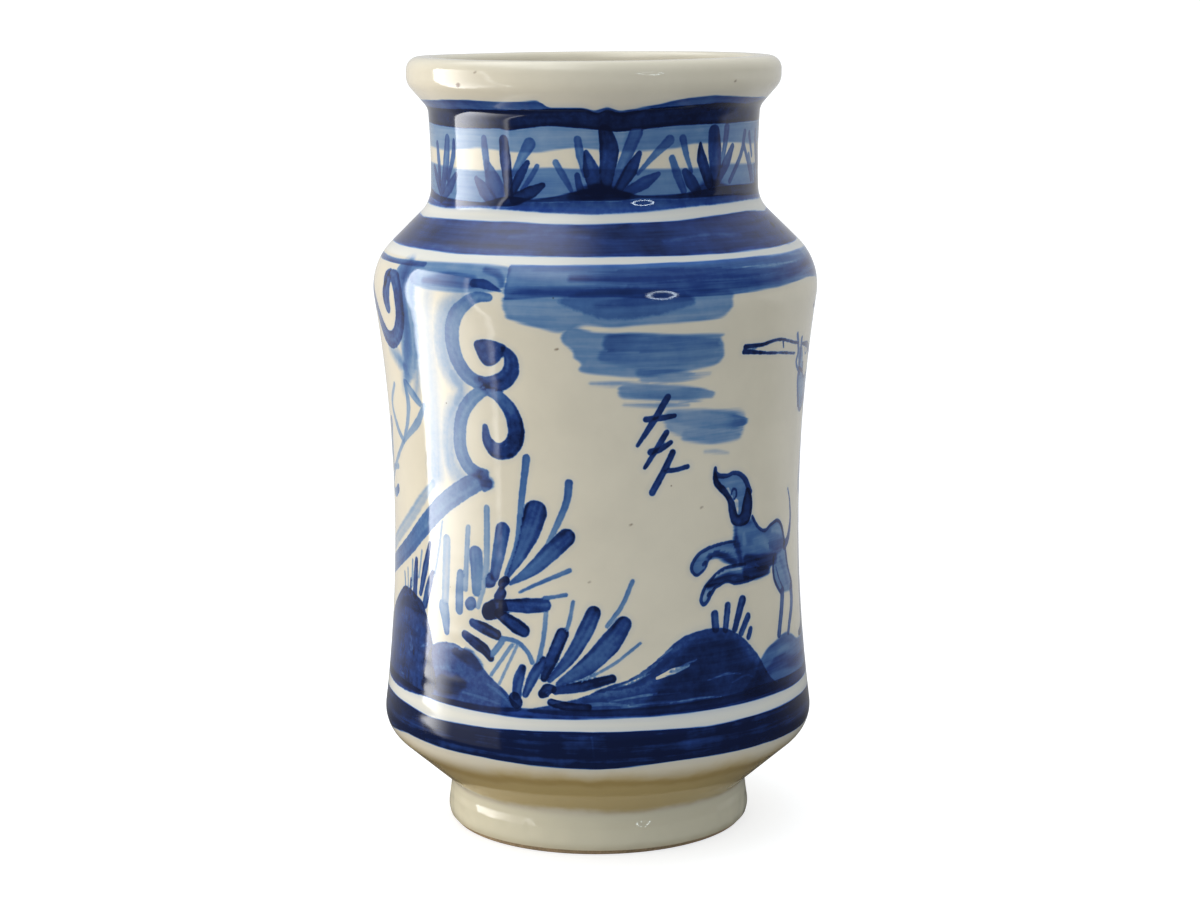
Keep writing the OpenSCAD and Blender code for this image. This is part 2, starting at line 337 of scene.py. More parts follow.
class Profile:
    """The jar's whole outline, from the foot over the lip to the middle of the floor, in millimetres:
    radius, height and outward normal against the distance along it."""

    def __init__(self, sizes):
        way = turned_way(self.corners(sizes))
        count = int(measured(way)[-1] / FINE_STEP)
        way = respaced(way, np.linspace(0.0, measured(way)[-1], count))
        way = np.column_stack([eased(way[:, 0], PROFILE_EASE), eased(way[:, 1], PROFILE_EASE)])
        way[-1, 0] = 0.0
        self.run = measured(way)
        self.radius, self.height = way[:, 0], way[:, 1]
        ahead = np.column_stack([np.gradient(self.radius, self.run), np.gradient(self.height, self.run)])
        ahead /= np.linalg.norm(ahead, axis=1)[:, None]
        self.normal = np.column_stack([ahead[:, 1], -ahead[:, 0]])
        self.crest = self.run[int(np.argmax(self.height))]

    def corners(self, sizes):
        """Corners (radius, height, rounding, sag of the next side) of the outside, then of the inside."""
        mm = {key: getattr(sizes, key) * MM for key in JarSizes.__annotations__}
        belly_z = mm["foot_h"] + mm["taper_h"]
        shoulder_z = belly_z + mm["body_h"]
        rim_z = mm["neck_z"] + mm["neck_h"]
        belly = np.array([mm["shoulder_d"] / 2 - mm["belly_step"], belly_z])
        shoulder = np.array([mm["shoulder_d"] / 2, shoulder_z])
        foot_top = np.array([mm["foot_top_d"] / 2, mm["foot_h"]])
        neck = np.array([mm["neck_d"] / 2, mm["neck_z"]])
        mouth_r = mm["bore_r"] + mm["flare_w"]
        wall = bowed_side(belly, shoulder, mm["waist_sag"])
        inner_belly = self.moved_in(foot_top, wall[0], wall[1], mm["wall_t"])
        inner_shoulder = self.moved_in(wall[-2], wall[-1], neck, mm["wall_t"])
        slope = (neck[1] - shoulder[1]) / (shoulder[0] - neck[0])
        neck_in_z = inner_shoulder[1] + (inner_shoulder[0] - mm["bore_r"]) * slope
        taper = (belly[0] - foot_top[0]) / (belly[1] - foot_top[1])
        floor_r = inner_belly[0] - (inner_belly[1] - mm["floor_z"]) * taper
        return [
            (mm["foot_base_d"] / 2, 0.0, 0.0, 0.0),
            (mm["foot_d"] / 2, mm["foot_toe_h"], mm["foot_round"], 0.0),
            (*foot_top, mm["foot_cove"], 0.0),
            (*belly, mm["belly_round"], mm["waist_sag"]),
            (*shoulder, mm["shoulder_round"], 0.0),
            (*neck, mm["neck_cove"], mm["neck_sag"]),
            (mm["neck_top_d"] / 2, rim_z, mm["rim_cove"], 0.0),
            (mm["rim_d"] / 2, rim_z + mm["lip_rise"], mm["lip_under"], 0.0),
            (mm["rim_d"] / 2, mm["jar_h"], mm["lip_round"], 0.0),
            (mouth_r, mm["jar_h"], mm["lip_in_round"], 0.0),
            (mm["bore_r"], mm["jar_h"] - mm["flare_h"], mm["inside_round"], 0.0),
            (mm["bore_r"], neck_in_z, mm["inside_round"], 0.0),
            (*inner_shoulder, mm["shoulder_round"] - mm["wall_t"], -mm["waist_sag"]),
            (*inner_belly, mm["inside_round"], 0.0),
            (floor_r, mm["floor_z"], mm["inside_round"], 0.0),
            (0.0, mm["floor_z"], 0.0, 0.0),
        ]

    @staticmethod
    def moved_in(before, corner, after, depth):
        """A corner moved by depth to the left of both its sides."""
        n, m = left_of(unit(corner - before)), left_of(unit(after - corner))
        return corner + (n + m) * depth / (1 + float(n @ m))

    def at_height(self, height):
        """Distance along the outside at a level."""
        outside = self.run <= self.crest
        return float(np.interp(height, self.height[outside], self.run[outside]))

    def inside_at(self, height):
        """Distance along the inside at a level."""
        inside = self.run >= self.crest
        return float(np.interp(-height, -self.height[inside], self.run[inside]))

    def rows(self, distances):
        """Radius, height and normal at distances along the outline."""
        pick = [np.interp(distances, self.run, values) for values in (self.radius, self.height)]
        normal = np.column_stack([np.interp(distances, self.run, self.normal[:, i]) for i in (0, 1)])
        return pick[0], pick[1], normal / np.linalg.norm(normal, axis=1)[:, None]


def thrown(distance, angle, ridge):
    """How far the hand-thrown wall stands out, in millimetres: slow waves round the jar that change
    along it, and two sets of ridges that climb as the wheel turns and swell here and there."""
    s, a = distance[:, None], np.radians(angle)[None, :]
    slow = sum(high * np.sin(count * a + phase + s / shift) for high, count, phase, shift in SLOW_WAVES)
    turns = np.sin(2 * np.pi * s / RIDGE_CLIMB - a)
    turns = turns + 0.6 * np.sin(2 * np.pi * s / CROSS_CLIMB - a + 1.3 + 0.8 * np.sin(a))
    return slow + ridge * turns * (0.7 + 0.3 * np.sin(s / 17 + 2 * a))


# Brushwork


def ring_line(known, seed):
    """Level of a band's edge round the jar: through the known points (angle, level, angle, level and so on)
    on the front, through seeded ones near their mean behind, eased over a degree or two."""
    known = np.array(known, float).reshape(-1, 2)
    rng = np.random.default_rng(seed)
    spread = float(np.clip(known[:, 1].std(), *WANDER))
    behind = np.arange(known[-1, 0] + WANDER_GAP, known[0, 0] + (360.0 - WANDER_GAP), WANDER_STEP)
    levels = known[:, 1].mean() + spread * rng.standard_normal(len(behind))
    angles = np.concatenate([known[:, 0], behind])
    levels = np.concatenate([known[:, 1], levels])
    ring = np.arange(-360.0, 720.0, RING_STEP)
    table = eased(np.interp(ring, angles, levels, period=360.0), RING_EASE)
    return lambda angle: np.interp(angle, ring, table)


def drawn_through(points, samples, closed=False):
    """Smooth curve through points: each stretch is the cubic whose slopes at its ends are half the way
    between their neighbours."""
    if closed:
        held = np.vstack([points[-1], points, points[0], points[1]])
        last = len(points)
    else:
        held = np.vstack([2 * points[0] - points[1], points, 2 * points[-1] - points[-2]])
        last = len(points) - 1
    t = np.linspace(0.0, last, samples)
    i = np.minimum(t.astype(int), last - 1)
    u = (t - i)[:, None]
    a, b, c, d = held[i], held[i + 1], held[i + 2], held[i + 3]
    way = 0.5 * (2 * b + (c - a) * u + (2 * a - 5 * b + 4 * c - d) * u**2 + (3 * b - a - 3 * c + d) * u**3)
    return way, t / last


class Stroke:
    """One stroke of a brush along a curve. The depth at a spot is the largest, over the curve's points, of
    the half width there less the distance to it."""

    def __init__(self, layer, points, half, load, dry, seed):
        self.layer = layer
        self.points, self.half, self.load, self.dry = points, np.atleast_1d(half), np.atleast_1d(load), dry
        self.middle = 0.5 * (points[:, 0].min() + points[:, 0].max())
        self.phases = np.random.default_rng(seed).uniform(0.0, 2 * np.pi, len(HAIR_WIDTHS))

    def box(self):
        """Angles and levels that the stroke may reach."""
        slack = self.half.max() + PAINT_REACH
        low, high = self.points.min(0), self.points.max(0)
        bend = STROKE_BULGE * (high - low)
        return low - bend, high + bend, slack

    def lay(self, angle, level, degree):
        """Depth and load on a grid of angles and levels."""
        spots = self.points * [degree, 1.0]
        samples = int(measured(spots)[-1] / STROKE_STEP) + 3
        way, t = drawn_through(spots, samples)
        half = np.interp(t, np.linspace(0, 1, len(self.half)), self.half)
        load = np.interp(t, np.linspace(0, 1, len(self.load)), self.load)
        start = np.clip(1 - t / DRY_SHARE, 0, 1) ** 2
        end = np.clip(1 - (1 - t) / DRY_SHARE, 0, 1) ** 2
        thin = start * self.dry[0] + end * self.dry[1]
        x, y = np.meshgrid(angle * degree, level)
        depth = half - np.hypot(x[..., None] - way[:, 0], y[..., None] - way[:, 1])
        best = depth.argmax(-1)
        depth = np.take_along_axis(depth, best[..., None], -1)[..., 0]
        ahead = np.gradient(way, axis=0)
        ahead /= np.linalg.norm(ahead, axis=1)[:, None] + 1e-9
        aside = (y - way[best, 1]) * ahead[best, 0] - (x - way[best, 0]) * ahead[best, 1]
        hairs = self.hairs(aside, t[best])
        return depth - thin[best] * (1 + DRY_HAIRS * hairs), load[best] * (1 + HAIRS[self.layer] * hairs)

    def hairs(self, aside, t):
        """Traces of the brush's hairs, from -1 to 1: waves across the stroke that drift along it."""
        waves = [
            np.sin(2 * np.pi * aside / width + phase + HAIR_DRIFT * t)
            for width, phase in zip(HAIR_WIDTHS, self.phases)
        ]
        return sum(waves) / len(waves)


class Patch:
    """A patch filled with the brush. The depth at a spot is its distance to the patch's outline, less than
    nothing outside."""

    def __init__(self, layer, points, load, blur):
        self.layer, self.points, self.load, self.blur = layer, points, load, blur
        self.middle = 0.5 * (points[:, 0].min() + points[:, 0].max())

    def box(self):
        """Angles and levels that the patch may reach."""
        low, high = self.points.min(0), self.points.max(0)
        bend = PATCH_BULGE * (high - low)
        return low - bend, high + bend, PAINT_REACH * self.blur

    def lay(self, angle, level, degree):
        """Depth and load on a grid of angles and levels."""
        spots = self.points * [degree, 1.0]
        around, _ = drawn_through(spots, 8 * len(spots) + 1, closed=True)
        x, y = np.meshgrid(angle * degree, level)
        near = np.full(x.shape, 1e6)
        inside = np.zeros(x.shape, bool)
        for (x0, y0), (x1, y1) in zip(around[:-1], around[1:]):
            dx, dy = x1 - x0, y1 - y0
            t = np.clip(((x - x0) * dx + (y - y0) * dy) / max(dx * dx + dy * dy, 1e-9), 0, 1)
            near = np.minimum(near, (x - x0 - t * dx) ** 2 + (y - y0 - t * dy) ** 2)
            if dy:
                inside ^= ((y0 > y) != (y1 > y)) & (x < x0 + (y - y0) * dx / dy)
        return np.where(inside, 1, -1) * np.sqrt(near) / self.blur, np.full(x.shape, self.load)


class Band:
    """A band laid on the turning wheel between two lines, over all the jar or over a span of angles."""

    middle = 0.0

    def __init__(self, layer, low, high, load, span):
        self.layer, self.low, self.high, self.load, self.span = layer, low, high, load, span

    def box(self):
        """Angles and levels that the band may reach."""
        ring = np.arange(-180.0, 180.0, 2.0)
        low, high = self.low(ring).min(), self.high(ring).max()
        return np.array([-180.0, low]), np.array([180.0, high]), PAINT_REACH

    def lay(self, angle, level, degree):
        """Depth and load on a grid of angles and levels."""
        depth = np.minimum(level[:, None] - self.low(angle), self.high(angle) - level[:, None])
        if self.span:
            start, end = self.span
            along = (angle - start) % 360
            ends = np.minimum(along, end - start - along)
            outside = along > end - start
            ends = np.where(outside, -np.minimum(along - (end - start), 360 - along), ends)
            depth = np.minimum(depth, (ends * degree)[None, :])
        return depth, np.full(depth.shape, self.load)


class Brushwork:
    """All strokes in the order they were laid, at degrees to the viewer's right of the front and
    millimetres above the table. A moved hand lays the same motif somewhere else, turned round the jar or
    the other way round."""

    def __init__(self, strokes=None, about=0.0, turn=0.0, flip=False, lift=0.0):
        self.strokes = [] if strokes is None else strokes
        self.about, self.turn, self.flip, self.lift = about, turn, flip, lift

    def moved(self, about=0.0, turn=0.0, flip=False, lift=0.0):
        """The same strokes from another place."""
        return Brushwork(self.strokes, about, turn, flip, lift)

    def placed(self, points):
        """Points where this hand lays them, from angle, level, angle, level and so on."""
        spots = np.array(points, float).reshape(-1, 2)
        way = -1.0 if self.flip else 1.0
        spots[:, 0] = self.about + way * (spots[:, 0] - self.about) + self.turn
        spots[:, 1] += self.lift
        return spots

    def brush(self, layer, points, half, load, dry=WET_ENDS):
        """One stroke through points."""
        self.strokes.append(Stroke(layer, self.placed(points), half, load, dry, len(self.strokes)))

    def brush_all(self, layer, rows, dry=WET_ENDS):
        """Several strokes: rows of (points, half widths, load)."""
        for points, half, load in rows:
            self.brush(layer, points, half, load, dry)

    def strokes_of(self, layer, load, rows):
        """Several strokes of one load: rows of (points, half widths)."""
        self.brush_all(layer, [(points, half, load) for points, half in rows])

    def patches_of(self, layer, rows):
        """Several patches: rows of (outline, load)."""
        for outline, load in rows:
            self.patch(layer, outline, load)

    def patch(self, layer, outline, load, blur=1.0):
        """A filled patch, its edge as many times softer as blur says."""
        self.strokes.append(Patch(layer, self.placed(outline), load, blur))

    def band(self, layer, low, high, load, span=None):
        """A band round the jar."""
        self.strokes.append(Band(layer, low, high, load, span))

    def laid_on(self, angle, level, degree):
        """Depth and load of every layer on a grid. The deepest stroke of a layer gives both, and strokes
        that lie over each other grow darker."""
        shape = (len(level), len(angle))
        sheet = {name: [np.full(shape, -FAR), np.zeros(shape)] for name in LAYERS}
        for stroke in self.strokes:
            low, high, slack = stroke.box()
            turned = (angle - stroke.middle + 180.0) % 360.0 - 180.0 + stroke.middle
            rows = np.flatnonzero((level > low[1] - slack) & (level < high[1] + slack))
            reach = slack / degree
            columns = np.flatnonzero((turned > low[0] - reach) & (turned < high[0] + reach))
            if not rows.size or not columns.size:
                continue
            spot = np.ix_(rows, columns)
            depth, load = stroke.lay(turned[columns], level[rows], degree)
            old_depth, old_load = (values[spot] for values in sheet[stroke.layer])
            both = np.clip(np.minimum(depth, old_depth) / OVERLAP_DEPTH, 0, 1)
            above = np.where(depth > old_depth, load, old_load)
            sheet[stroke.layer][1][spot] = above + OVERLAP_GAIN * both * np.minimum(load, old_load)
            sheet[stroke.layer][0][spot] = np.maximum(np.maximum(depth, old_depth), -FAR)
        return sheet


def paint_neck_bands(work):
    """Band under the rim, two washes with a clear stripe between them, and the ground that the tufts stand
    on."""
    lip_low = ring_line((
        -60, 182.6, -51, 182.5, -33, 182.8, -30, 182.3, -21, 183.2, -15, 183.7, -3, 183, 8, 182.1,
        18, 182.8, 28, 183.4, 42, 183.4, 60, 183.3,
    ), 1)
    lip_high = ring_line((
        -60, 189, -45, 189.5, -30, 189.3, -17, 189.8, -15, 188, -3, 188, 0, 187, 4, 188.3, 8, 187,
        20, 188.5, 30, 190, 40, 190.5, 60, 189.3,
    ), 2)
    core_high = ring_line((
        -60, 187, -45, 187.3, -30, 187.2, -16, 187.7, -3, 187.8, 1, 186.4, 4, 187.8, 8, 186.6, 20, 187.8,
        32, 188.2, 45, 188.6, 60, 187.8,
    ), 3)
    work.band("broad", lip_low, lip_high, DEEP)
    work.band("leaf", lip_low, core_high, 0.88)
    upper_low = ring_line((
        -60, 176.6, -43, 178, -28, 177.3, -19, 177.3, -6, 178.6, 1, 177.9, 9, 177.4, 19, 177.6, 28, 178,
        35, 178.9, 52, 178.6,
    ), 4)
    work.band("wash", upper_low, lip_low, 0.29)
    work.band("shade", upper_low, lip_low, 0.13, span=(10, 150))
    lower_high = ring_line((
        -56, 172.5, -43, 172.3, -24, 173.2, -14, 173.7, -6, 173.3, 19, 172.9, 35, 172.7, 52, 173.3,
    ), 5)
    ground_low = ring_line((
        -72, 162.6, -60, 162.5, -41, 163.4, -28, 163.2, -15, 162.8, 0, 162.4, 15, 162.9, 34, 163.6,
        64, 163.9,
    ), 6)
    work.band("wash", ground_low, lower_high, 0.38)
    core_low = ring_line((
        -60, 162.8, -41, 163.7, -29, 163.8, -24, 165, -16, 165.1, -6, 165.5, 8, 165.5, 14, 165.9, 28, 165.5,
        52, 165.4, 75, 164.6,
    ), 7)
    core_top = ring_line((
        -62, 164.9, -41, 164.6, -30, 166.6, -21, 165.9, -14, 166.6, -6, 167.8, 1, 169, 8, 168.1, 15, 166.7,
        28, 166.8, 37, 167.4, 46, 167.9, 58, 167.8, 78, 167.5,
    ), 8)
    work.band("broad", core_low, core_top, 0.8)
    work.band("scroll", ground_low, core_low, 0.5)
    for middle in (1, 43, 81, 123, 198, 240):
        work.brush("shade", (middle - 9, 166.4, middle, 167.7, middle + 10, 166.5), (0.8, 2.2, 0.8), 0.8)


def paint_tuft_middle(work):
    """The broad tuft of the neck: blades that spread from one root."""
    work.brush_all("leaf", (
        ((-13, 174.8, -10.1, 171.2, -7.7, 168), (0.8, 0.9, 0.5), 0.4),
        ((-5.6, 180.4, -4.7, 176.8, -2.9, 172), (0.9, 1.1, 0.9), 0.46),
        ((13.8, 181.8, 11.3, 177.5, 7.7, 171.5, 5.9, 168.5), (1.7, 1.5, 1.1, 0.8), 0.46),
        ((25.8, 179.9, 19.9, 176.1, 14.5, 172), (1.3, 0.8, 0.4), 0.44),
    ))
    work.brush_all("line", (
        ((-5.8, 171.8, -5.2, 169.5, -4.2, 167.3), (0.7, 0.9, 0.9), 0.6),
        ((-2.8, 177.4, -1.2, 173, 0.8, 168), (0.6, 2, 1.9), 0.72),
        ((3.4, 182.4, 4.8, 177.6, 3.5, 169), (1.6, 2.4, 1.5), 0.82),
        ((15, 176.9, 11.9, 172.8, 8, 168.5), (0.7, 1.7, 1.2), 0.72),
        ((21.8, 171.8, 16.8, 169.8, 10.6, 167.6), (0.6, 1.6, 1.2), 0.6),
    ))


def paint_tuft_right(work):
    """The second tuft, with one upright broad blade."""
    work.strokes_of("leaf", 0.46, (
        ((26.7, 175.5, 28.8, 171.5, 31.2, 167.4), (0.9, 1.2, 0.9)),
        ((30.8, 180.2, 32.3, 176.2, 34.4, 172), (1, 0.8, 0.5)),
        ((50.8, 182.2, 50, 177.8, 48.2, 173), (1.1, 0.9, 0.6)),
        ((62.9, 180.6, 60.5, 175.5, 53, 169), (0.9, 0.8, 0.7)),
        ((62.4, 177.7, 66.4, 173.1, 69.7, 168.5), (0.7, 0.7, 0.6)),
        ((67, 180.2, 70.4, 174.7), (0.8, 0.7)),
    ))
    work.brush_all("line", (
        ((31.8, 172, 34.2, 169.6, 36.8, 167.2), (1, 1.7, 1.4), 0.66),
        ((38.1, 178.8, 38.9, 174.7, 42.4, 169), (0.4, 1.6, 1.6), 0.82),
        ((44.3, 181.2, 44.9, 176.6, 45.5, 169.6), (2, 2.4, 1.7), 0.72),
        ((54.4, 177.5, 51.2, 173.8, 46.4, 169.4), (0.8, 1.5, 1.1), 0.58),
    ))


def paint_tuft_left(work):
    """The third tuft, with an upright dark blade at its left."""
    work.brush_all("leaf", (
        ((-22, 179.2, -25, 175.8, -28.6, 171.6), (1.6, 1.2, 0.5), 0.4),
        ((-19.4, 173.9, -21.9, 171, -25.1, 168), (0.6, 0.7, 0.5), 0.44),
        ((-40.1, 180.2, -39.7, 177.2, -39, 173), (0.9, 1.1, 1), 0.42),
        ((-39.2, 174.4, -36.5, 170, -33.5, 166.5), (0.9, 2.4, 2.4), 0.5),
        ((-44, 170.2, -40.4, 167.6, -36.8, 165.4), (0.8, 1.9, 1.7), 0.5),
    ))
    work.strokes_of("line", 0.76, (
        ((-31.8, 180, -31.2, 175, -29.9, 167), (1.3, 1.6, 1.2)),
        ((-22.9, 174.7, -25.8, 171.4, -28.5, 167.6), (0.7, 1.3, 1)),
        ((-17.5, 169.3, -21.9, 167.5, -27.8, 165.8), (0.7, 1.6, 1.4)),
    ))


def paint_tuft_far(work):
    """A tuft of five plain blades."""
    work.strokes_of("leaf", MID, (
        ((-60.4, 179.6, -61.8, 174.2, -65, 166.5), (1.2, 1.7, 1.3)),
        ((-56, 179.2, -56.8, 175.3, -60.6, 169.6), (0.6, 1, 0.8)),
        ((-55, 170.9, -59.3, 167.7, -65, 164.6), (0.7, 1.6, 1.3)),
        ((-69.5, 178, -68.6, 174, -67.5, 168), (0.9, 1.2, 0.9)),
        ((-74, 172, -71, 169.5, -67, 166.4), (0.8, 1.3, 1.1)),
    ))


def paint_neck(work):
    """Bands and tufts of grass round the neck."""
    paint_neck_bands(work)
    paint_tuft_middle(work)
    paint_tuft_right(work)
    paint_tuft_left(work)
    paint_tuft_far(work)
    paint_tuft_middle(work.moved(turn=80))
    paint_tuft_right(work.moved(turn=80))
    paint_tuft_left(work.moved(turn=192))
    paint_tuft_middle(work.moved(turn=197))
    paint_tuft_right(work.moved(turn=192))
    paint_tuft_far(work.moved(turn=-36))


def paint_wall_bands(work):
    """Band on the shoulder, the sky under it and the band above the lower corner."""
    shoulder_low = ring_line((-75, 153.1, -40, 152.8, -10, 153.1, 20, 152.9, 45, 152.8, 70, 153), 11)
    shoulder_high = ring_line((
        -75, 159.6, -50, 160.2, -25, 160.4, 0, 160.1, 25, 160.5, 40, 161, 60, 161.3,
    ), 12)
    work.band("broad", shoulder_low, shoulder_high, 0.74)
    fringe = ring_line((-60, 154.2, -30, 154.4, 0, 153.9, 15, 153.6, 40, 153.4), 13)
    shade_high = ring_line((-75, 158.8, -40, 158.6, -10, 158.4, 5, 159.6, 30, 160.3, 60, 160.6), 14)
    work.band("wash", fringe, shade_high, 0.34)
    # A lightened streak in the shoulder band: thinner paint, partly a painted reflection of the room
    work.brush("shade", (-26, 157.2, -14, 158, -2, 157.4), (0.3, 0.6, 0.3), -0.9)
    work.brush("shade", (20, 156.2, 34, 156.8, 48, 156.4), (0.2, 0.5, 0.2), -1.4)
    sky_low = ring_line((-23, 143, -10, 144, 5, 143.8, 35, 143.4, 50, 143.8, 70, 144.5), 15)
    sky_high = ring_line((-75, 150.6, -40, 151, -10, 151.3, 20, 151.4, 50, 151.3, 75, 151), 16)
    work.band("broad", sky_low, sky_high, 0.42, span=(-22.5, 199))
    base_low = ring_line((
        -75, 27.6, -60, 29.2, -45, 28.8, -30, 28.7, -18, 28, 0, 27.8, 20, 28.9, 40, 28.6, 70, 28.3,
    ), 17)
    base_high = ring_line((
        -75, 37, -60, 36.5, -50, 35.5, -30, 36.2, -10, 37, 10, 36.9, 30, 36.3, 60, 36.5,
    ), 18)
    work.band("broad", base_low, base_high, 0.94)
    shade_low = ring_line((-75, 29.5, -30, 30, 0, 30.5, 40, 29.6, 70, 29), 19)
    shade_top = ring_line((-75, 35.5, -30, 34.6, 0, 34.8, 40, 35.6, 70, 36), 20)
    work.band("wash", shade_low, shade_top, 0.36)
    work.brush("line", (-1.6, 35.8, -1.3, 33, -1, 30.8), 0.25, -1.2)


def paint_sky(work):
    """Streaks in the sky's band and the wash that hangs under it."""
    work.brush_all("shade", (
        ((-22.4, 145, -10, 145.3, 5, 145.6, 20, 145.2), (0.9, 1.1, 1.3, 1), 0.36),
        ((-6, 148.4, 12, 148.6, 34, 148.2, 56, 147.6), (1, 1.9, 1.9, 1), 0.5),
        ((8, 146.6, 30, 145.8, 54, 146.2, 76, 147.6), (0.9, 1.5, 1.5, 0.9), 0.46),
        ((22, 150.2, 48, 150, 74, 149.6), (0.6, 0.9, 0.8), 0.34),
        ((62, 147.4, 84, 148.2, 108, 147.6, 126, 148), (0.7, 1.6, 1.5, 0.8), 0.4),
        ((70, 145.4, 94, 145.2, 118, 145.8), (0.6, 1, 0.6), 0.34),
        ((-16, 150, -2, 150.6, 16, 150.4), (0.4, 0.6, 0.4), 0.2),
    ), DRY_ENDS)
    work.brush("line", (18, 147.4, 36, 147, 54, 147.2), (0.2, 0.35, 0.2), -0.3)
    work.brush("line", (36, 149.4, 52, 149.2, 66, 148.8), (0.2, 0.3, 0.2), -0.35)
    work.patch("wash", (
        -22.4, 144, -22.2, 139.4, -19.6, 138, -14.6, 136.8, -8.5, 135.6, -2.6, 137.4, 4, 136.8, 10.7, 137.2,
        22.9, 137.4, 32, 138, 35, 140, 35.4, 142, 33, 144.6, 8, 146, -14, 146,
    ), 0.32, blur=1.4)
    work.patch("scroll", (
        -8.6, 143.4, -5, 141.2, 3.2, 138.7, 13.2, 139.3, 21, 140.7, 24.8, 142.2, 21.2, 144.7, 10.8, 146,
        0.8, 146,
    ), 0.3, blur=2.6)
    work.brush("shade", (0, 142, 10, 142.8, 24, 143), (0.7, 1.3, 0.7), 0.3, dry=(0.2, 0.4))


def paint_clouds(work):
    """Clouds of broad, flat strokes that start wet at the left and run dry to the right."""
    work.patch("wash", (
        -8.2, 133.2, -7.8, 135.6, -5.8, 137, -2, 136, 3.2, 135.3, 31, 134, 32.6, 132.8, 34, 129,
        31.6, 126.4, 23.7, 125.4, 11, 124.4, 3.2, 125, -3.6, 126, -3.8, 128, -5.4, 129.6, -5.6, 131,
    ), 0.32, blur=1.3)
    work.patch("wash", (
        18, 115.6, 28, 115.4, 36, 114.6, 42, 113.6, 42.6, 110, 40.6, 107, 33, 106.6, 25, 108, 19, 111,
    ), 0.2, blur=1.8)
    for points, half, load in (
        ((3.8, 132.8, 9, 132.8, 17.8, 132.2, 31, 131.6), (2, 2.3, 2.4, 2.3), (0.44, 0.3, 0.24, 0.2)),
        ((2, 129.6, 9, 129, 20, 128.8, 32, 129), (1.4, 1.9, 2, 1.6), (0.24, 0.2, 0.14, 0.12)),
        ((7.6, 121.2, 13.7, 120.7, 24, 119.8, 30.6, 119), (1.9, 2, 1.9, 1.7), (0.3, 0.36, 0.36, 0.3)),
        ((12, 124.2, 20, 123.8, 30, 124.2), (1, 1.2, 0.6), 0.2),
        ((-1.2, 123, 4, 122.9, 9.3, 123), (0.3, 0.6, 0.4), 0.24),
        ((7.2, 117.8, 13.8, 117.4, 24.1, 117), (0.3, 0.5, 0.4), 0.2),
        ((19.4, 114.6, 28.3, 113.2, 36, 111.9, 41.6, 111.3), (1.4, 2.4, 2.5, 2.5), (0.1, 0.13, 0.2, 0.42)),
        ((24, 109.2, 32, 108.6, 40.4, 108.2), (1.4, 2, 1.6), 0.16),
        ((11, 125.4, 18, 124.6, 27, 124.4), (1, 1.6, 0.8), 0.24),
        ((29.7, 104.9, 33, 104.6, 37.4, 103.9), (0.3, 0.5, 0.4), 0.18),
    ):
        work.brush("shade", points, half, load, dry=(0, 0.4 * float(np.max(half))))


def paint_birds(work):
    """Three birds, each of two crossed strokes."""
    work.strokes_of("line", 0.74, (
        ((18.4, 119.2, 14.8, 113.4, 10.7, 107.6), (0.85, 0.85, 0.5)),
        ((12.8, 114, 16.6, 114.1, 20.4, 114.5), (0.75, 0.75, 0.6)),
        ((18.4, 110.5, 15.7, 106.4, 12.7, 102), (0.75, 0.75, 0.5)),
        ((14.2, 105.8, 16.8, 106.4, 19.6, 107.9), (0.85, 0.8, 0.6)),
        ((20.2, 105.4, 18, 101.2, 14.8, 95.8), (0.8, 0.85, 0.9)),
        ((18, 101, 21, 101, 24.6, 101.6), (0.6, 0.6, 0.6)),
    ))


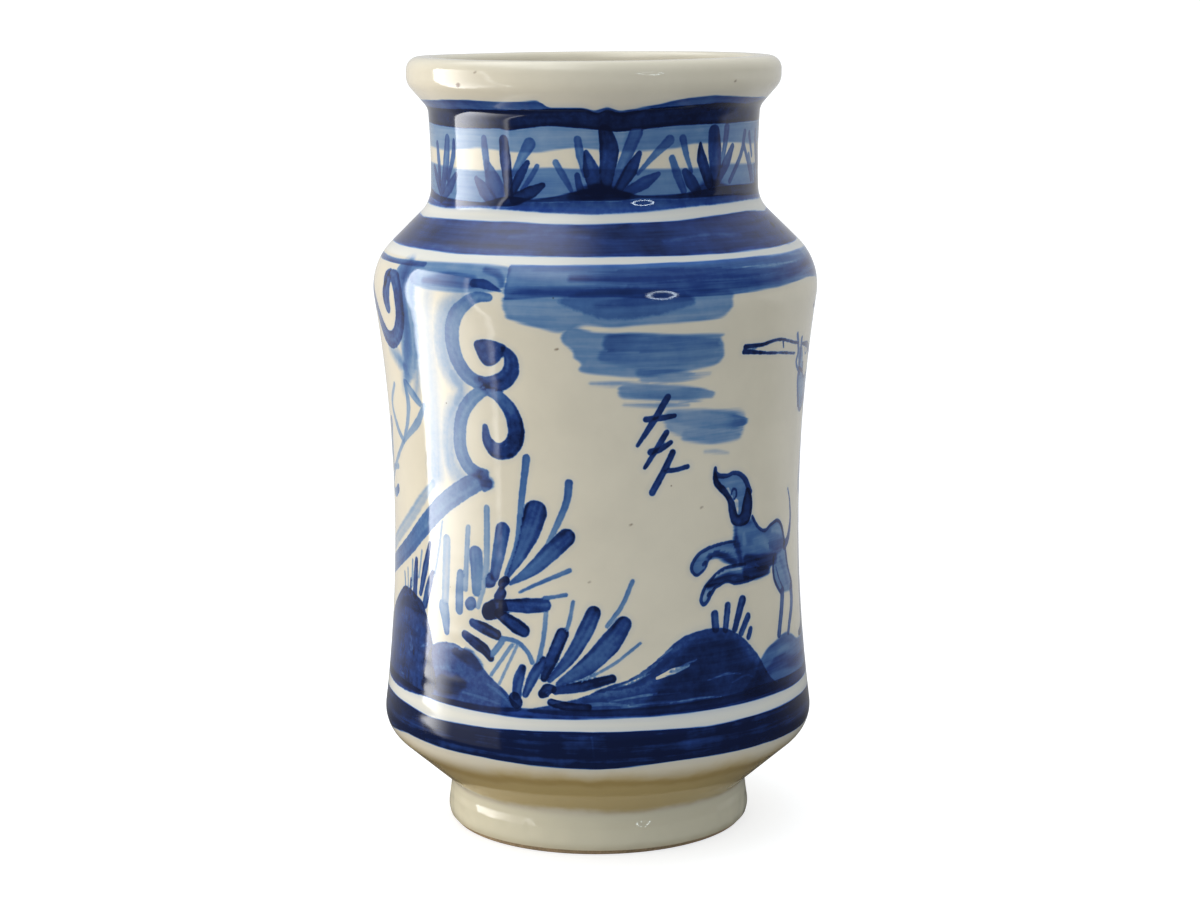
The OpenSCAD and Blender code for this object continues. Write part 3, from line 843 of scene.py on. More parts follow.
def paint_fan_tall(work):
    """The tall plant: blades and stems that spread from a dark knot, paler to the left."""
    work.brush_all("leaf", (
        ((-24.3, 74.5, -21, 80, -18, 86, -16.3, 91), (0.5, 1.8, 2.7, 3), (0.56, 0.6, 0.64, 0.76)),
        ((-23.5, 72.8, -17, 77, -12, 81.5, -8, 85), (0.5, 1.7, 2.3, 2.2), (0.5, 0.56, 0.64, 0.76)),
        ((-25.6, 67.2, -19, 67.6, -14, 68), (1.4, 1.9, 1.7), (0.88, 0.76, 0.68)),
        ((-28.4, 74, -27, 80, -25.7, 86), (1.3, 1.8, 2), (0.62, 0.54, 0.64)),
        ((-27, 65, -22, 62.4, -19.7, 61.3), (1.3, 1.9, 1.6), (0.9, 0.84, 0.76)),
        ((-35.3, 61.8, -31, 60.7, -27.5, 59.6), (1.1, 1.5, 1.3), (0.7, 0.84, 0.92)),
        ((-37.8, 58.5, -34, 56.8, -31.2, 55.5, -29.2, 53.6), (1.1, 1.5, 1.4, 0.9), (0.7, 0.86, 0.94, 0.86)),
        ((-24.8, 75, -21.6, 83, -20.2, 93, -18.4, 104.3), (0.55, 0.7, 0.8, 1), (0.4, 0.4, 0.42, 0.54)),
        ((-34, 70, -34, 75, -34.3, 79.2), (1.5, 1.9, 2.1), (0.38, 0.38, 0.46)),
        ((-36.2, 66.3, -35.7, 66.7), 1.6, 0.52),
        ((-30.2, 72.9, -29.7, 73.1), 1.8, 0.66),
        ((-15, 80, -10.5, 88, -7.8, 94, -7.2, 98.5), (0.3, 0.8, 0.9, 1), (0.2, 0.36, 0.46, 0.54)),
        ((-21, 70.8, -14, 74, -7.2, 76.8), (0.35, 0.5, 0.6), 0.4),
        ((-14, 69.8, -11, 70.2, -8.2, 70.8), 0.5, 0.4),
        ((-26, 59, -21.5, 58.4, -18.5, 56, -17.3, 53.6), 0.6, 0.38),
        ((-23, 57.5, -26, 53.5, -29, 49.5), 0.5, 0.3),
        ((-21.5, 57.5, -24, 52.5, -26.5, 47.5), 0.4, 0.26),
        ((-26, 58, -27.6, 56, -29.5, 54), 0.8, 0.36),
        ((-40, 64.5, -40, 69, -39.6, 73.4), 1.3, 0.38),
        ((-13.6, 66, -14.2, 60, -15.6, 53.5), 0.6, (0.24, 0.36, 0.38)),
        ((-45.5, 66, -45.2, 73, -44.8, 81.5), (1.4, 1.5, 1.4), 0.2),
        ((-33.5, 66, -31, 75, -30.4, 91), (0.7, 0.9, 0.9), (0.18, 0.22, 0.3)),
        ((-37.8, 70, -37.4, 78, -36.7, 85.6), 0.8, 0.24),
        ((-50, 72, -48, 79, -46.4, 86), 0.4, 0.2),
        ((-46, 64.6, -45.2, 61.6, -44.6, 58.4), (1.9, 1.6, 1), (0.32, 0.36, 0.42)),
    ))
    work.strokes_of("line", 0.8, (
        ((-30.2, 65, -28.4, 65.9, -26.4, 66.6), (1.4, 2.5, 2)),
        ((-27, 69, -26.2, 70.2), 1.4),
        ((-26, 72.6, -25, 73.4), 1.2),
    ))
    work.patch("line", (-32, 66.4, -30.4, 67.6, -28, 67.4, -28, 64, -30.6, 63, -32.2, 64.4), 0.9)


def paint_fan_low(work):
    """The low plant: blades to the right of two dark knots."""
    work.strokes_of("leaf", (0.66, 0.62, 0.66, 0.78), (
        ((-12.5, 49.5, -7, 55.5, -3, 62, -1, 66.3), (0.7, 1.6, 2, 1.8)),
        ((-10, 48.7, -3, 53, 3, 58.5, 6.8, 63.3), (0.8, 2.2, 2.7, 2.1)),
        ((-21.5, 45, -21, 49, -20, 52), (1.2, 1.4, 1)),
        ((-19, 45.5, -17, 50, -14.4, 54.2), (0.8, 1.4, 1.1)),
    ))
    work.strokes_of("leaf", DARK, (
        ((-14, 50, -11.8, 55, -9.2, 61), (1, 1.6, 1.6)),
        ((-11, 47, -4, 48.2, 3.7, 50), (1, 1.4, 1.1)),
        ((-12, 44, -8, 43.2, -2.5, 43), (1, 1.1, 0.9)),
    ))
    work.strokes_of("leaf", 0.34, (
        ((-9, 60, -7.4, 64, -6.3, 69), 0.5),
        ((2.5, 63, 6.5, 68, 9.4, 74), (0.5, 0.6, 0.6)),
        ((-4, 49.5, 4, 53.5, 11.3, 58.5), (0.3, 0.4, 0.4)),
    ))
    work.strokes_of("line", DARK, (
        ((-14.4, 46, -13, 47, -11.8, 47.2), (1.1, 1.6, 1.1)),
        ((-22, 44.4, -21.4, 43.4), 1.6),
    ))


def paint_ground(work):
    """The dark ground line round the jar."""
    ground_low = ring_line((-75, 40.6, -40, 40.2, -20, 39.7, 0, 40.2, 30, 40.3, 60, 40, 75, 39.8), 31)
    ground_high = ring_line((
        -75, 42.6, -50, 41.4, -30, 41.6, -20, 42.2, 0, 42.4, 30, 43, 50, 43.6, 75, 42.6,
    ), 32)
    work.band("broad", ground_low, ground_high, 0.8)


def paint_mounds_left(work):
    """Two streaky mounds side by side under the frame, with scratches and grass."""
    work.patch("scroll", (
        -86, 41, -84, 52, -79, 58.5, -72.1, 63.4, -68, 65.8, -63.6, 66, -58.4, 64.8, -55.6, 63.6,
        -52.8, 59.6, -50.6, 55, -50.2, 51.3, -50.4, 41,
    ), 0.8)
    work.patch("scroll", (
        -52.6, 41, -52.4, 50, -51.2, 52.9, -47.6, 55, -41.7, 55.7, -38, 54.8, -34.6, 53.8, -31.9, 51.3,
        -29.4, 49.1, -26.3, 47, -23.2, 44.6, -22, 41,
    ), 0.7)
    work.patch("shade", (
        -48.4, 45.4, -45.8, 47.5, -42.6, 46.9, -40.2, 48.1, -36.7, 46.4, -38.7, 43.8, -43.8, 42.4,
        -48, 42.7,
    ), 0.72)
    work.brush("shade", (-41, 54, -36.4, 52.8, -33, 51), (1.3, 1.9, 1.3), 0.66)
    work.brush("shade", (-48.4, 48.4, -45, 49.2, -41, 49.2), (0.4, 0.9, 0.4), -0.5)
    work.brush_all("shade", (
        ((-76, 52, -66, 55, -57, 55), (0.7, 1.6, 0.8), 0.44),
        ((-72, 60, -64, 62.6, -55, 61), (0.8, 1.8, 1), 0.5),
        ((-72, 45, -62, 47, -54, 45), (0.7, 1.4, 0.7), 0.36),
        ((-46, 54.6, -40, 54.8, -35, 53), (0.5, 0.8, 0.5), -0.3),
    ), DRY_ENDS)
    work.brush_all("line", (
        ((-62.6, 54.8, -61.3, 51.1), (0.4, 0.9), -0.8),
        ((-56, 52.4, -53, 53.6), (0.2, 0.5), -0.8),
        ((-67, 43.4, -64.6, 43.6), 0.3, -0.8),
        ((-30, 47, -26.4, 45.4, -24, 43.6), (0.3, 0.5, 0.3), -0.4),
        ((-38, 44, -31, 43.4, -26, 42.4), (0.3, 0.4, 0.2), -0.4),
    ))
    work.strokes_of("leaf", DEEP, (
        ((-60.3, 65, -60, 70, -59.6, 74.2), (1.2, 1.2, 0.8)),
        ((-57, 66, -54.6, 73, -52.2, 79.6), (0.8, 1.3, 0.6)),
        ((-54.6, 63.6, -53, 68, -51, 72.2), (1.2, 1.3, 0.8)),
        ((-63.4, 65, -63, 68.4), 0.6),
    ))
    work.strokes_of("leaf", PALE, (
        ((-66.8, 65, -68, 69.4), 0.5),
        ((-65, 66, -65.4, 71), 0.4),
        ((-62.4, 67, -62, 73.6), 0.5),
        ((-58, 70, -56.4, 77), 0.4),
    ))


def paint_mound_right(work):
    """The long mound that rises to the right: a dark top, light streaks down its slope, and a row of
    grass."""
    work.patch("scroll", (
        -13.4, 41, -12, 43.4, -5, 45.2, 2.8, 48.2, 7.8, 49.6, 12.9, 52.3, 18.1, 56, 23.6, 59.3, 30.9, 60.4,
        37.1, 59.6, 43, 56.2, 48.4, 51, 52, 46, 56, 42.6, 60, 41,
    ), 0.71)
    work.patch("shade", (
        14, 43, 16, 48, 21, 54, 26, 57.6, 31, 58.8, 37, 58, 42, 54.6, 47, 49.6, 51, 44.6, 44, 42,
    ), 0.68, blur=3)
    work.brush_all("shade", (
        ((-10, 43.6, 4, 44.4, 18, 46.6), (0.7, 1.3, 0.8), 0.24),
        ((0, 46.8, 9, 48.6, 17, 52.6, 24, 57), (0.4, 0.9, 1, 0.8), 0.4),
        ((4, 47.4, 11, 50.2, 17, 54), (0.4, 0.8, 0.4), -0.5),
        ((-6, 45.6, 4, 46.6, 12, 47.8), (0.3, 0.6, 0.3), -0.5),
    ), DRY_ENDS)
    work.brush_all("line", (
        ((15.6, 49.6, 20, 50.9, 24.6, 52), (0.3, 0.8, 0.35), -7),
        ((21, 51.2, 24, 52.4, 27, 53.2), (0.2, 0.35, 0.2), -4),
        ((-13.3, 46.4, -12, 45.7, -10.5, 44.8), (0.3, 0.5, 0.3), -1),
        ((3, 44.4, 12.7, 45.6, 22, 45.4), (0.15, 0.35, 0.15), -1.6),
        ((-9, 43, 0, 43.8, 8, 43.4), (0.2, 0.5, 0.2), -1),
        ((6, 42.8, 16, 43.6, 25, 42.8), (0.2, 0.4, 0.2), -0.9),
        ((10, 51.6, 15, 54, 20, 56.6), (0.2, 0.4, 0.2), -1.2),
        ((4, 47.6, 9, 49, 14, 51), (0.15, 0.35, 0.15), -1.4),
        ((19, 43.2, 27, 43.6, 34, 43), (0.15, 0.3, 0.15), -3),
        ((30, 47.6, 36, 48.4, 41, 47.8), (0.15, 0.3, 0.15), -3),
        ((38, 46, 43, 47, 46, 46), (0.15, 0.3, 0.15), -1.6),
    ))
    work.strokes_of("leaf", 0.7, (
        ((33.3, 60.2, 33, 63.8), 1.1),
        ((36.5, 59.5, 37.5, 65.4), (0.9, 1)),
        ((39.7, 59.1, 42.8, 66), (0.9, 1.3)),
        ((42, 57.8, 44.8, 61.6), (0.9, 1)),
        ((44.8, 56.4, 45.7, 58.2), 0.8),
    ))


def paint_mound_pale(work):
    """The pale mound that the hunter stands on."""
    work.patch("wash", (
        46, 41, 47, 47, 49.3, 50, 53, 52.2, 57, 53.2, 62.4, 54, 67, 53, 72, 50.8, 78, 50.4, 85, 51.8,
        92, 52.6, 99, 52.2, 105, 49, 110, 44, 112, 41,
    ), 0.54)
    work.brush_all("shade", (
        ((48, 45, 58, 47.4, 70, 45.4, 84, 46), (0.8, 2, 1.6, 0.8), 0.46),
        ((52, 51.4, 60, 52.6, 68, 51), (0.4, 0.8, 0.5), 0.3),
        ((54, 49.4, 62, 50.2, 70, 48.4), (0.4, 0.9, 0.4), -0.16),
        ((76, 48.4, 88, 50, 102, 48), (0.5, 1.2, 0.5), 0.34),
        ((80, 45, 92, 46.4, 106, 44.6), (0.6, 1.6, 0.8), 0.44),
    ), DRY_ENDS)


def paint_hound(work):
    """A hound that leaps to the left: washes for head, trunk and legs, soft shadows, a dark muzzle and ear,
    and a brush-drawn outline."""
    work.patches_of("wash", (
        ((33.2, 99, 35.5, 98.2, 37.6, 98.1, 39.4, 98.5, 41.7, 97.9, 44.3, 96.3, 46.6, 91, 46, 87.5, 43, 86,
          40, 88, 37, 92.6, 33.6, 96.6), 0.42),
        ((40.3, 84.6, 42.1, 85.4, 46.1, 86, 47.1, 86.5, 49.3, 83.9, 52.8, 82.1, 56.7, 83.3, 59.6, 83.6,
          62, 82.3, 63.6, 79.6, 64.7, 77, 62, 75, 58, 74, 53, 71, 48, 71, 44, 71.6, 42, 76, 40.6, 81), 0.5),
        ((40.4, 81, 37.1, 81.3, 32.5, 80.8, 28.6, 79.6, 26.4, 77.3, 26.1, 75.5, 27.4, 74.2, 28.9, 74.7,
          30.3, 75.8, 31, 77.3, 32.4, 78.2, 34.5, 78, 37.2, 76.8, 40, 75, 43, 76), 0.46),
        ((44.1, 74.9, 40.3, 75, 35.8, 74.6, 32.5, 72.8, 30, 70.6, 28.9, 68, 29.6, 66.6, 30.9, 67.5,
          31.8, 69, 33.2, 70.4, 37.1, 71.8, 40.2, 70.8, 44, 70.6), 0.44),
        ((58.1, 75.4, 64.7, 76, 66.4, 70.8, 69.5, 66.3, 69.8, 64.3, 63.1, 64.6, 61.5, 64.9, 59.3, 66.6,
          57.5, 68.9, 56.9, 71.9), 0.38),
    ))
    work.brush_all("shade", (
        ((40.4, 84.4, 40.8, 81, 41.8, 78.4, 42.6, 75.6), (0.6, 0.9, 1, 0.9), 0.64),
        ((45, 76, 51.6, 74.4, 58, 74.4), (1.6, 2.1, 1.4), 0.74),
        ((44.6, 72.4, 48.6, 72.2, 54, 72), (1.5, 1.8, 1.2), 0.76),
        ((55, 78.2, 59, 77.4, 63.6, 77.6), (0.9, 1.6, 1.2), 0.34),
        ((43, 85.4, 46, 85), 0.8, 0.3),
        ((31.7, 78.6, 34.2, 78.8, 37.2, 77.5, 40.4, 75.9), (0.8, 1, 1.1, 0.9), 0.72),
        ((31.2, 71.1, 34.1, 72, 37.5, 72.6, 41.1, 72, 45, 71.4), (0.7, 0.9, 1, 1, 1), 0.76),
        ((61, 74, 64, 70, 66.6, 65.4), (0.6, 0.8, 0.5), 0.2),
        ((43.7, 82.6, 44, 80.4), (0.5, 0.7), -0.3),
        ((48.2, 80.4, 51.6, 80, 54.6, 78), (0.8, 1.4, 0.9), -0.16),
        ((57, 81.8, 59.6, 81.8, 62, 80.4), (0.8, 1.3, 0.7), -0.36),
        ((29, 78.8, 32.5, 79.9, 36, 79.9, 39.4, 79.2), (0.5, 0.6, 0.6, 0.5), -0.16),
        ((29.6, 68, 30.6, 69.6), 0.7, -0.36),
        ((39.2, 72.1, 40.7, 71.8), 0.4, -1.2),
    ))
    work.brush_all("line", (
        ((62.3, 65, 61.4, 61, 59, 54.4), (1.2, 1.1, 1), 0.6),
        ((69, 64.8, 68.8, 60.4, 65, 53.8), (1.2, 1.2, 0.8), 0.56),
        ((37.4, 94.6, 38.4, 92.6, 39.4, 91.2), (0.6, 0.8, 0.6), -0.4),
        ((40.4, 91, 40.9, 89.2, 41.1, 87.8), (1, 0.6, 0.3), -0.5),
        ((33, 72.9, 35.8, 73.9, 39.8, 74.2, 43.4, 74.1), (0.25, 0.35, 0.35, 0.25), -0.5),
        ((48.4, 74.3, 49.8, 73.5), 0.3, -0.9),
    ))
    work.patch("leaf", (
        33, 100.2, 32.4, 98.2, 33.1, 95.9, 35.5, 93.8, 37.4, 91.8, 38.2, 88.1, 39.5, 85.6, 42.6, 84.7,
        45.6, 85.5, 46.9, 88.3, 46.9, 91, 45.8, 93.8, 44.4, 94.2, 44, 93.2, 43.1, 90.7, 42.5, 88.2,
        41.2, 88, 39.9, 91.3, 38.2, 93.4, 36.9, 95.1, 34.9, 96.6, 33.9, 98.2,
    ), 0.82)
    work.strokes_of("line", 0.7, (
        ((33.1, 100.5, 33.3, 98.9, 35.5, 98.2, 37.6, 98.2, 39.4, 98.6, 41.7, 98, 44, 96.2, 46, 93),
         (0.4, 0.8, 0.65, 0.55, 0.55, 0.65, 0.8, 0.8)),
        ((47.1, 86.6, 49.6, 83.6, 52.8, 82.2, 56, 83.2, 59.6, 83.7, 62.3, 82, 63.8, 79, 64.9, 76.6), 0.46),
        ((64.6, 76.4, 67.4, 78.2, 69.3, 82.6, 68.4, 87.6, 66.7, 90.8), (1.2, 1.1, 0.6, 0.4, 0.3)),
        ((40.4, 81.2, 37.1, 81.3, 32.5, 80.8, 28.6, 79.6, 26.4, 77.3, 26.1, 75.5, 27.4, 74.2, 28.9, 74.7,
          30.3, 75.8, 31, 77.2, 32.2, 78.2), (0.4, 0.45, 0.5, 0.5, 0.5, 0.45, 0.4, 0.35, 0.3, 0.3, 0.3)),
        ((44.1, 74.9, 40.3, 75.1, 35.8, 74.7, 32.5, 72.9, 30, 70.7, 28.8, 68, 29.6, 66.6, 31, 67.5,
          31.9, 68.9, 33.2, 70.3), 0.48),
        ((33.2, 70.3, 37.1, 71.6, 40.2, 70.7, 43.5, 70.5, 48, 70.9), 0.45),
        ((57.4, 74.6, 57, 71.9, 57.6, 68.9, 59.4, 66.5, 61.4, 64.6), 0.46),
        ((65, 75.6, 66.6, 70.8, 69.4, 66.2, 69.7, 63), 0.46),
        ((58.6, 72, 60.4, 68.6, 63, 65.4), 0.28),
        ((39.4, 94.6, 38.7, 93.2, 39.4, 91.8, 40.6, 92.6, 40.4, 94.2, 39.4, 94.6), 0.34),
        ((29.7, 76.6, 30.2, 77.1), 0.5),
        ((31.1, 68.8, 31.6, 69.4), 0.5),
    ))


def paint_strapwork(work):
    """Half of a scrolled strap frame: a pale pillar, two curled scrolls, and a strap that falls to the
    left."""
    work.brush_all("mist", (
        ((-34, 143, -39.6, 139, -42, 132, -41, 126, -37.6, 121.4), (2, 2.6, 2.8, 2.6, 2), 0.2),
        ((-39, 123.6, -36.4, 120.4, -38.4, 117), 1.5, 0.2),
        ((-37, 118.6, -41, 113, -42.6, 107, -42, 101, -38, 97), (1.8, 2.4, 2.6, 2.4, 2), 0.2),
        ((-46, 143, -47, 130, -47.6, 114, -48.4, 98), (1.8, 2.2, 2.6, 3), (0.12, 0.12, 0.15, 0.2)),
        ((-57.6, 148, -56.6, 138, -57.4, 128, -61, 118), (2.2, 2.6, 2.4, 1.4), (0.44, 0.44, 0.4, 0.16)),
        ((-68, 127, -62, 124.8, -58.6, 122), (1.2, 1.8, 1.2), (0.2, 0.36, 0.3)),
        ((-53, 148, -52, 136, -53, 124, -55, 117), (1.4, 1.8, 1.6, 1), 0.2),
    ))
    work.brush_all("scroll", (
        ((-26.6, 143.4, -30.5, 143.2, -34.6, 140.6, -37.5, 136.7, -38.3, 131.7, -36.9, 126.8, -33.7, 123.4,
          -29, 121.8), (0.9, 1.4, 1.8, 2.1, 2.2, 2.1, 1.9, 1.6),
         (0.44, 0.4, 0.36, 0.36, 0.38, 0.42, 0.44, 0.42)),
        ((-29, 121, -33.8, 117.8, -37, 113.8, -38.2, 109.3, -38.2, 104.9, -35.9, 101, -32.3, 99.4),
         (1.4, 1.8, 1.9, 2, 2.1, 1.9, 1.6), (0.4, 0.4, 0.38, 0.38, 0.38, 0.4, 0.48)),
        ((-32, 98, -38.4, 94.8, -46.2, 90.1, -55.8, 83, -64, 77.2, -74.4, 72, -84, 68.6, -92.3, 67.6),
         (2.4, 2.6, 2.6, 2.6, 2.5, 2.4, 2.4, 2.4), (0.5, 0.44, 0.42, 0.48, 0.54, 0.54, 0.5, 0.4)),
        ((-23.4, 131.2, -21.5, 128.8, -21.8, 125.4, -24.4, 123, -28.4, 122, -31.4, 123),
         (0.9, 1.6, 2.1, 2.2, 2, 1.2), (0.72, 0.72, 0.74, 0.76, 0.7, 0.56)),
        ((-29.6, 121, -26, 119.6, -22.8, 116.6, -21.2, 112.8, -21.2, 109, -23.6, 106.2, -27, 105.8,
          -29.4, 108, -29.9, 111.4), (1.3, 1.5, 1.8, 2.1, 2.2, 2.3, 2, 1.4, 0.8),
         (0.4, 0.5, 0.64, 0.76, 0.82, 0.8, 0.7, 0.66, 0.6)),
    ))
    work.patch("scroll", (
        -31.6, 132, -29, 133.1, -25.5, 132.8, -22.5, 131.6, -24.2, 128.6, -26.3, 127, -28.5, 126.7,
        -30.2, 128.2,
    ), 0.74)
    work.patch("scroll", (
        -33.4, 100.4, -29.8, 100.7, -29.5, 98.8, -28.6, 97.9, -28.8, 96.2, -31.7, 95.3,
    ), 0.5)
    work.brush_all("shade", (
        ((-21.4, 127.4, -22.4, 124.8, -25.4, 122.8), (0.6, 1.1, 0.8), 0.3),
        ((-21, 113, -21.4, 108.6, -24.4, 106), (0.8, 1.3, 1), 0.34),
        ((-25.4, 108.4, -24, 107.4), (0.7, 0.9), -0.5),
        ((-31.4, 97.2, -29.4, 97.2), (0.9, 1.3), 0.6),
        ((-33.4, 99.4, -30.4, 99.6), 1, 0.3),
    ))
    work.brush(
        "wash", (-50, 95, -56.8, 89.4, -65.3, 83, -78.8, 75.8, -86, 73.3, -92.3, 72.5),
        (1, 1.6, 1.8, 1.8, 1.8, 1.8), 0.17,
    )
    work.patch("wash", (
        -61, 149, -60, 146, -50, 144.6, -36, 144.2, -25, 145, -22.6, 148, -23, 150.6, -36, 151, -50, 150.4,
    ), 0.32)
    work.brush("shade", (-48, 146.2, -40, 146.9, -32, 146.8), (0.7, 1.6, 1.4), 0.42)
    work.brush("line", (-31.5, 146.6, -28, 146.4, -23.6, 145), (1, 1.1, 0.3), 0.6)
    work.brush("shade", (-29, 149.8, -25, 148.8, -23, 146.4), (0.5, 0.8, 0.6), 0.42)
    work.brush("broad", (-92.3, 149.6, -70, 149.6, -50, 149.8), 0.5, MID)
    work.strokes_of("scroll", 0.66, (
        ((-66, 146.4, -61.6, 145.4, -58.4, 141, -59.4, 134.6, -64, 130.2, -69.4, 130, -74.6, 133.4,
          -79, 138.4, -85, 142.6, -92.3, 144), (1, 1.8, 2.1, 2.2, 2.2, 2.2, 2.2, 2, 1.7, 1.5)),
        ((-66, 144.6, -66.4, 141.4, -65.8, 138.2), (2, 2.4, 1.8)),
        ((-67.4, 144, -68, 146, -66, 146.8), (1.2, 1, 0.8)),
    ))
    work.patch("wash", (
        -58, 149, -54, 149, -51, 142, -51.4, 130, -55, 122, -60, 119.4, -60, 127, -56.6, 134,
    ), 0.2, blur=2)


def paint_sprig(work):
    """Half of the posy in the frame: a pale branch whose leaves spread from one root, and blades beside the
    stem."""
    work.strokes_of("scroll", 0.24, (
        ((-65.3, 103.8, -70, 107, -73.6, 112.4, -69, 118), (0.8, 1.1, 1, 0.7)),
        ((-65.3, 104, -61.6, 109, -60, 114.4, -61, 119.6), (0.6, 0.9, 1.1, 0.7)),
        ((-65, 104, -56, 109.6, -51.6, 114.6), (0.7, 1.2, 0.8)),
        ((-60.4, 119.4, -57, 117, -53.8, 115), (1, 1.3, 1)),
        ((-91.6, 81, -86, 87.4, -79, 93.6, -71.6, 99, -65.6, 103.6), (1.1, 1, 0.9, 0.8, 0.7)),
        ((-79, 95, -72, 96.4), 0.8),
    ))
    work.brush_all("leaf", (
        ((-84.6, 89, -84.4, 94.6, -81.6, 100.4), (0.5, 1.6, 1.5), (0.3, 0.4, 0.54)),
        ((-78.6, 94, -79.4, 101, -77.6, 107.4), (0.4, 1.3, 1.3), (0.26, 0.34, 0.46)),
        ((-83.4, 89.4, -77.6, 88.6, -73.4, 90.4), (0.4, 1.2, 1.2), (0.3, 0.36, 0.48)),
        ((-91.4, 94, -88, 98.4, -86.4, 104.6), (0.5, 1.7, 1.7), (0.5, 0.56, 0.7)),
        ((-91.4, 102, -88.8, 106.6, -88.2, 111), (0.4, 1.3, 1.1), (0.5, 0.56, 0.7)),
        ((-91.2, 143, -87.6, 138.4, -86.6, 132.6), (0.5, 1.5, 1.6), (0.5, 0.56, 0.7)),
        ((-90.6, 143.4, -85.4, 140.6, -81.8, 136.4), (0.4, 1.3, 1.4), (0.5, 0.54, 0.66)),
        ((-91.6, 64.6, -87, 62.6, -84.4, 60), (0.5, 1.2, 1.1), (0.5, 0.54, 0.66)),
    ))


def paint_posy(work):
    """The middle of the frame: a stem with a round flower, a blade under the top scrolls, and a bud below
    the strap."""
    work.patch("wash", (-103, 41, -99, 46.4, -92, 48.4, -85, 46.4, -81, 41), 0.34)
    work.brush(
        "leaf", (-92, 77, -92.6, 90, -91.6, 101, -92, 112), (1.1, 0.9, 0.8, 0.7), (0.5, 0.44, 0.5, 0.6)
    )
    flower = np.array([FRAME_MIDDLE, 118])
    for turn in np.arange(0.3, 2 * math.pi, 2 * math.pi / 7):
        ahead = np.array([math.cos(turn), WALL_DEGREE * math.sin(turn)])
        spots = [flower + reach * ahead for reach in (2, 4.6, 7)]
        work.brush("leaf", spots, (0.7, 1.8, 1.9), (0.34, 0.42, 0.62))
    work.brush("line", (-92.5, 118, -91.5, 118), 1.6, DARK)
    work.brush("leaf", (-92, 143, -92, 136.6, -92, 129.4), (0.6, 1.7, 1.8), (0.5, 0.56, 0.72))
    work.brush("leaf", (-92, 65, -92, 61.4, -92, 57), (0.6, 2, 0.7), (0.56, 0.66, 0.76))


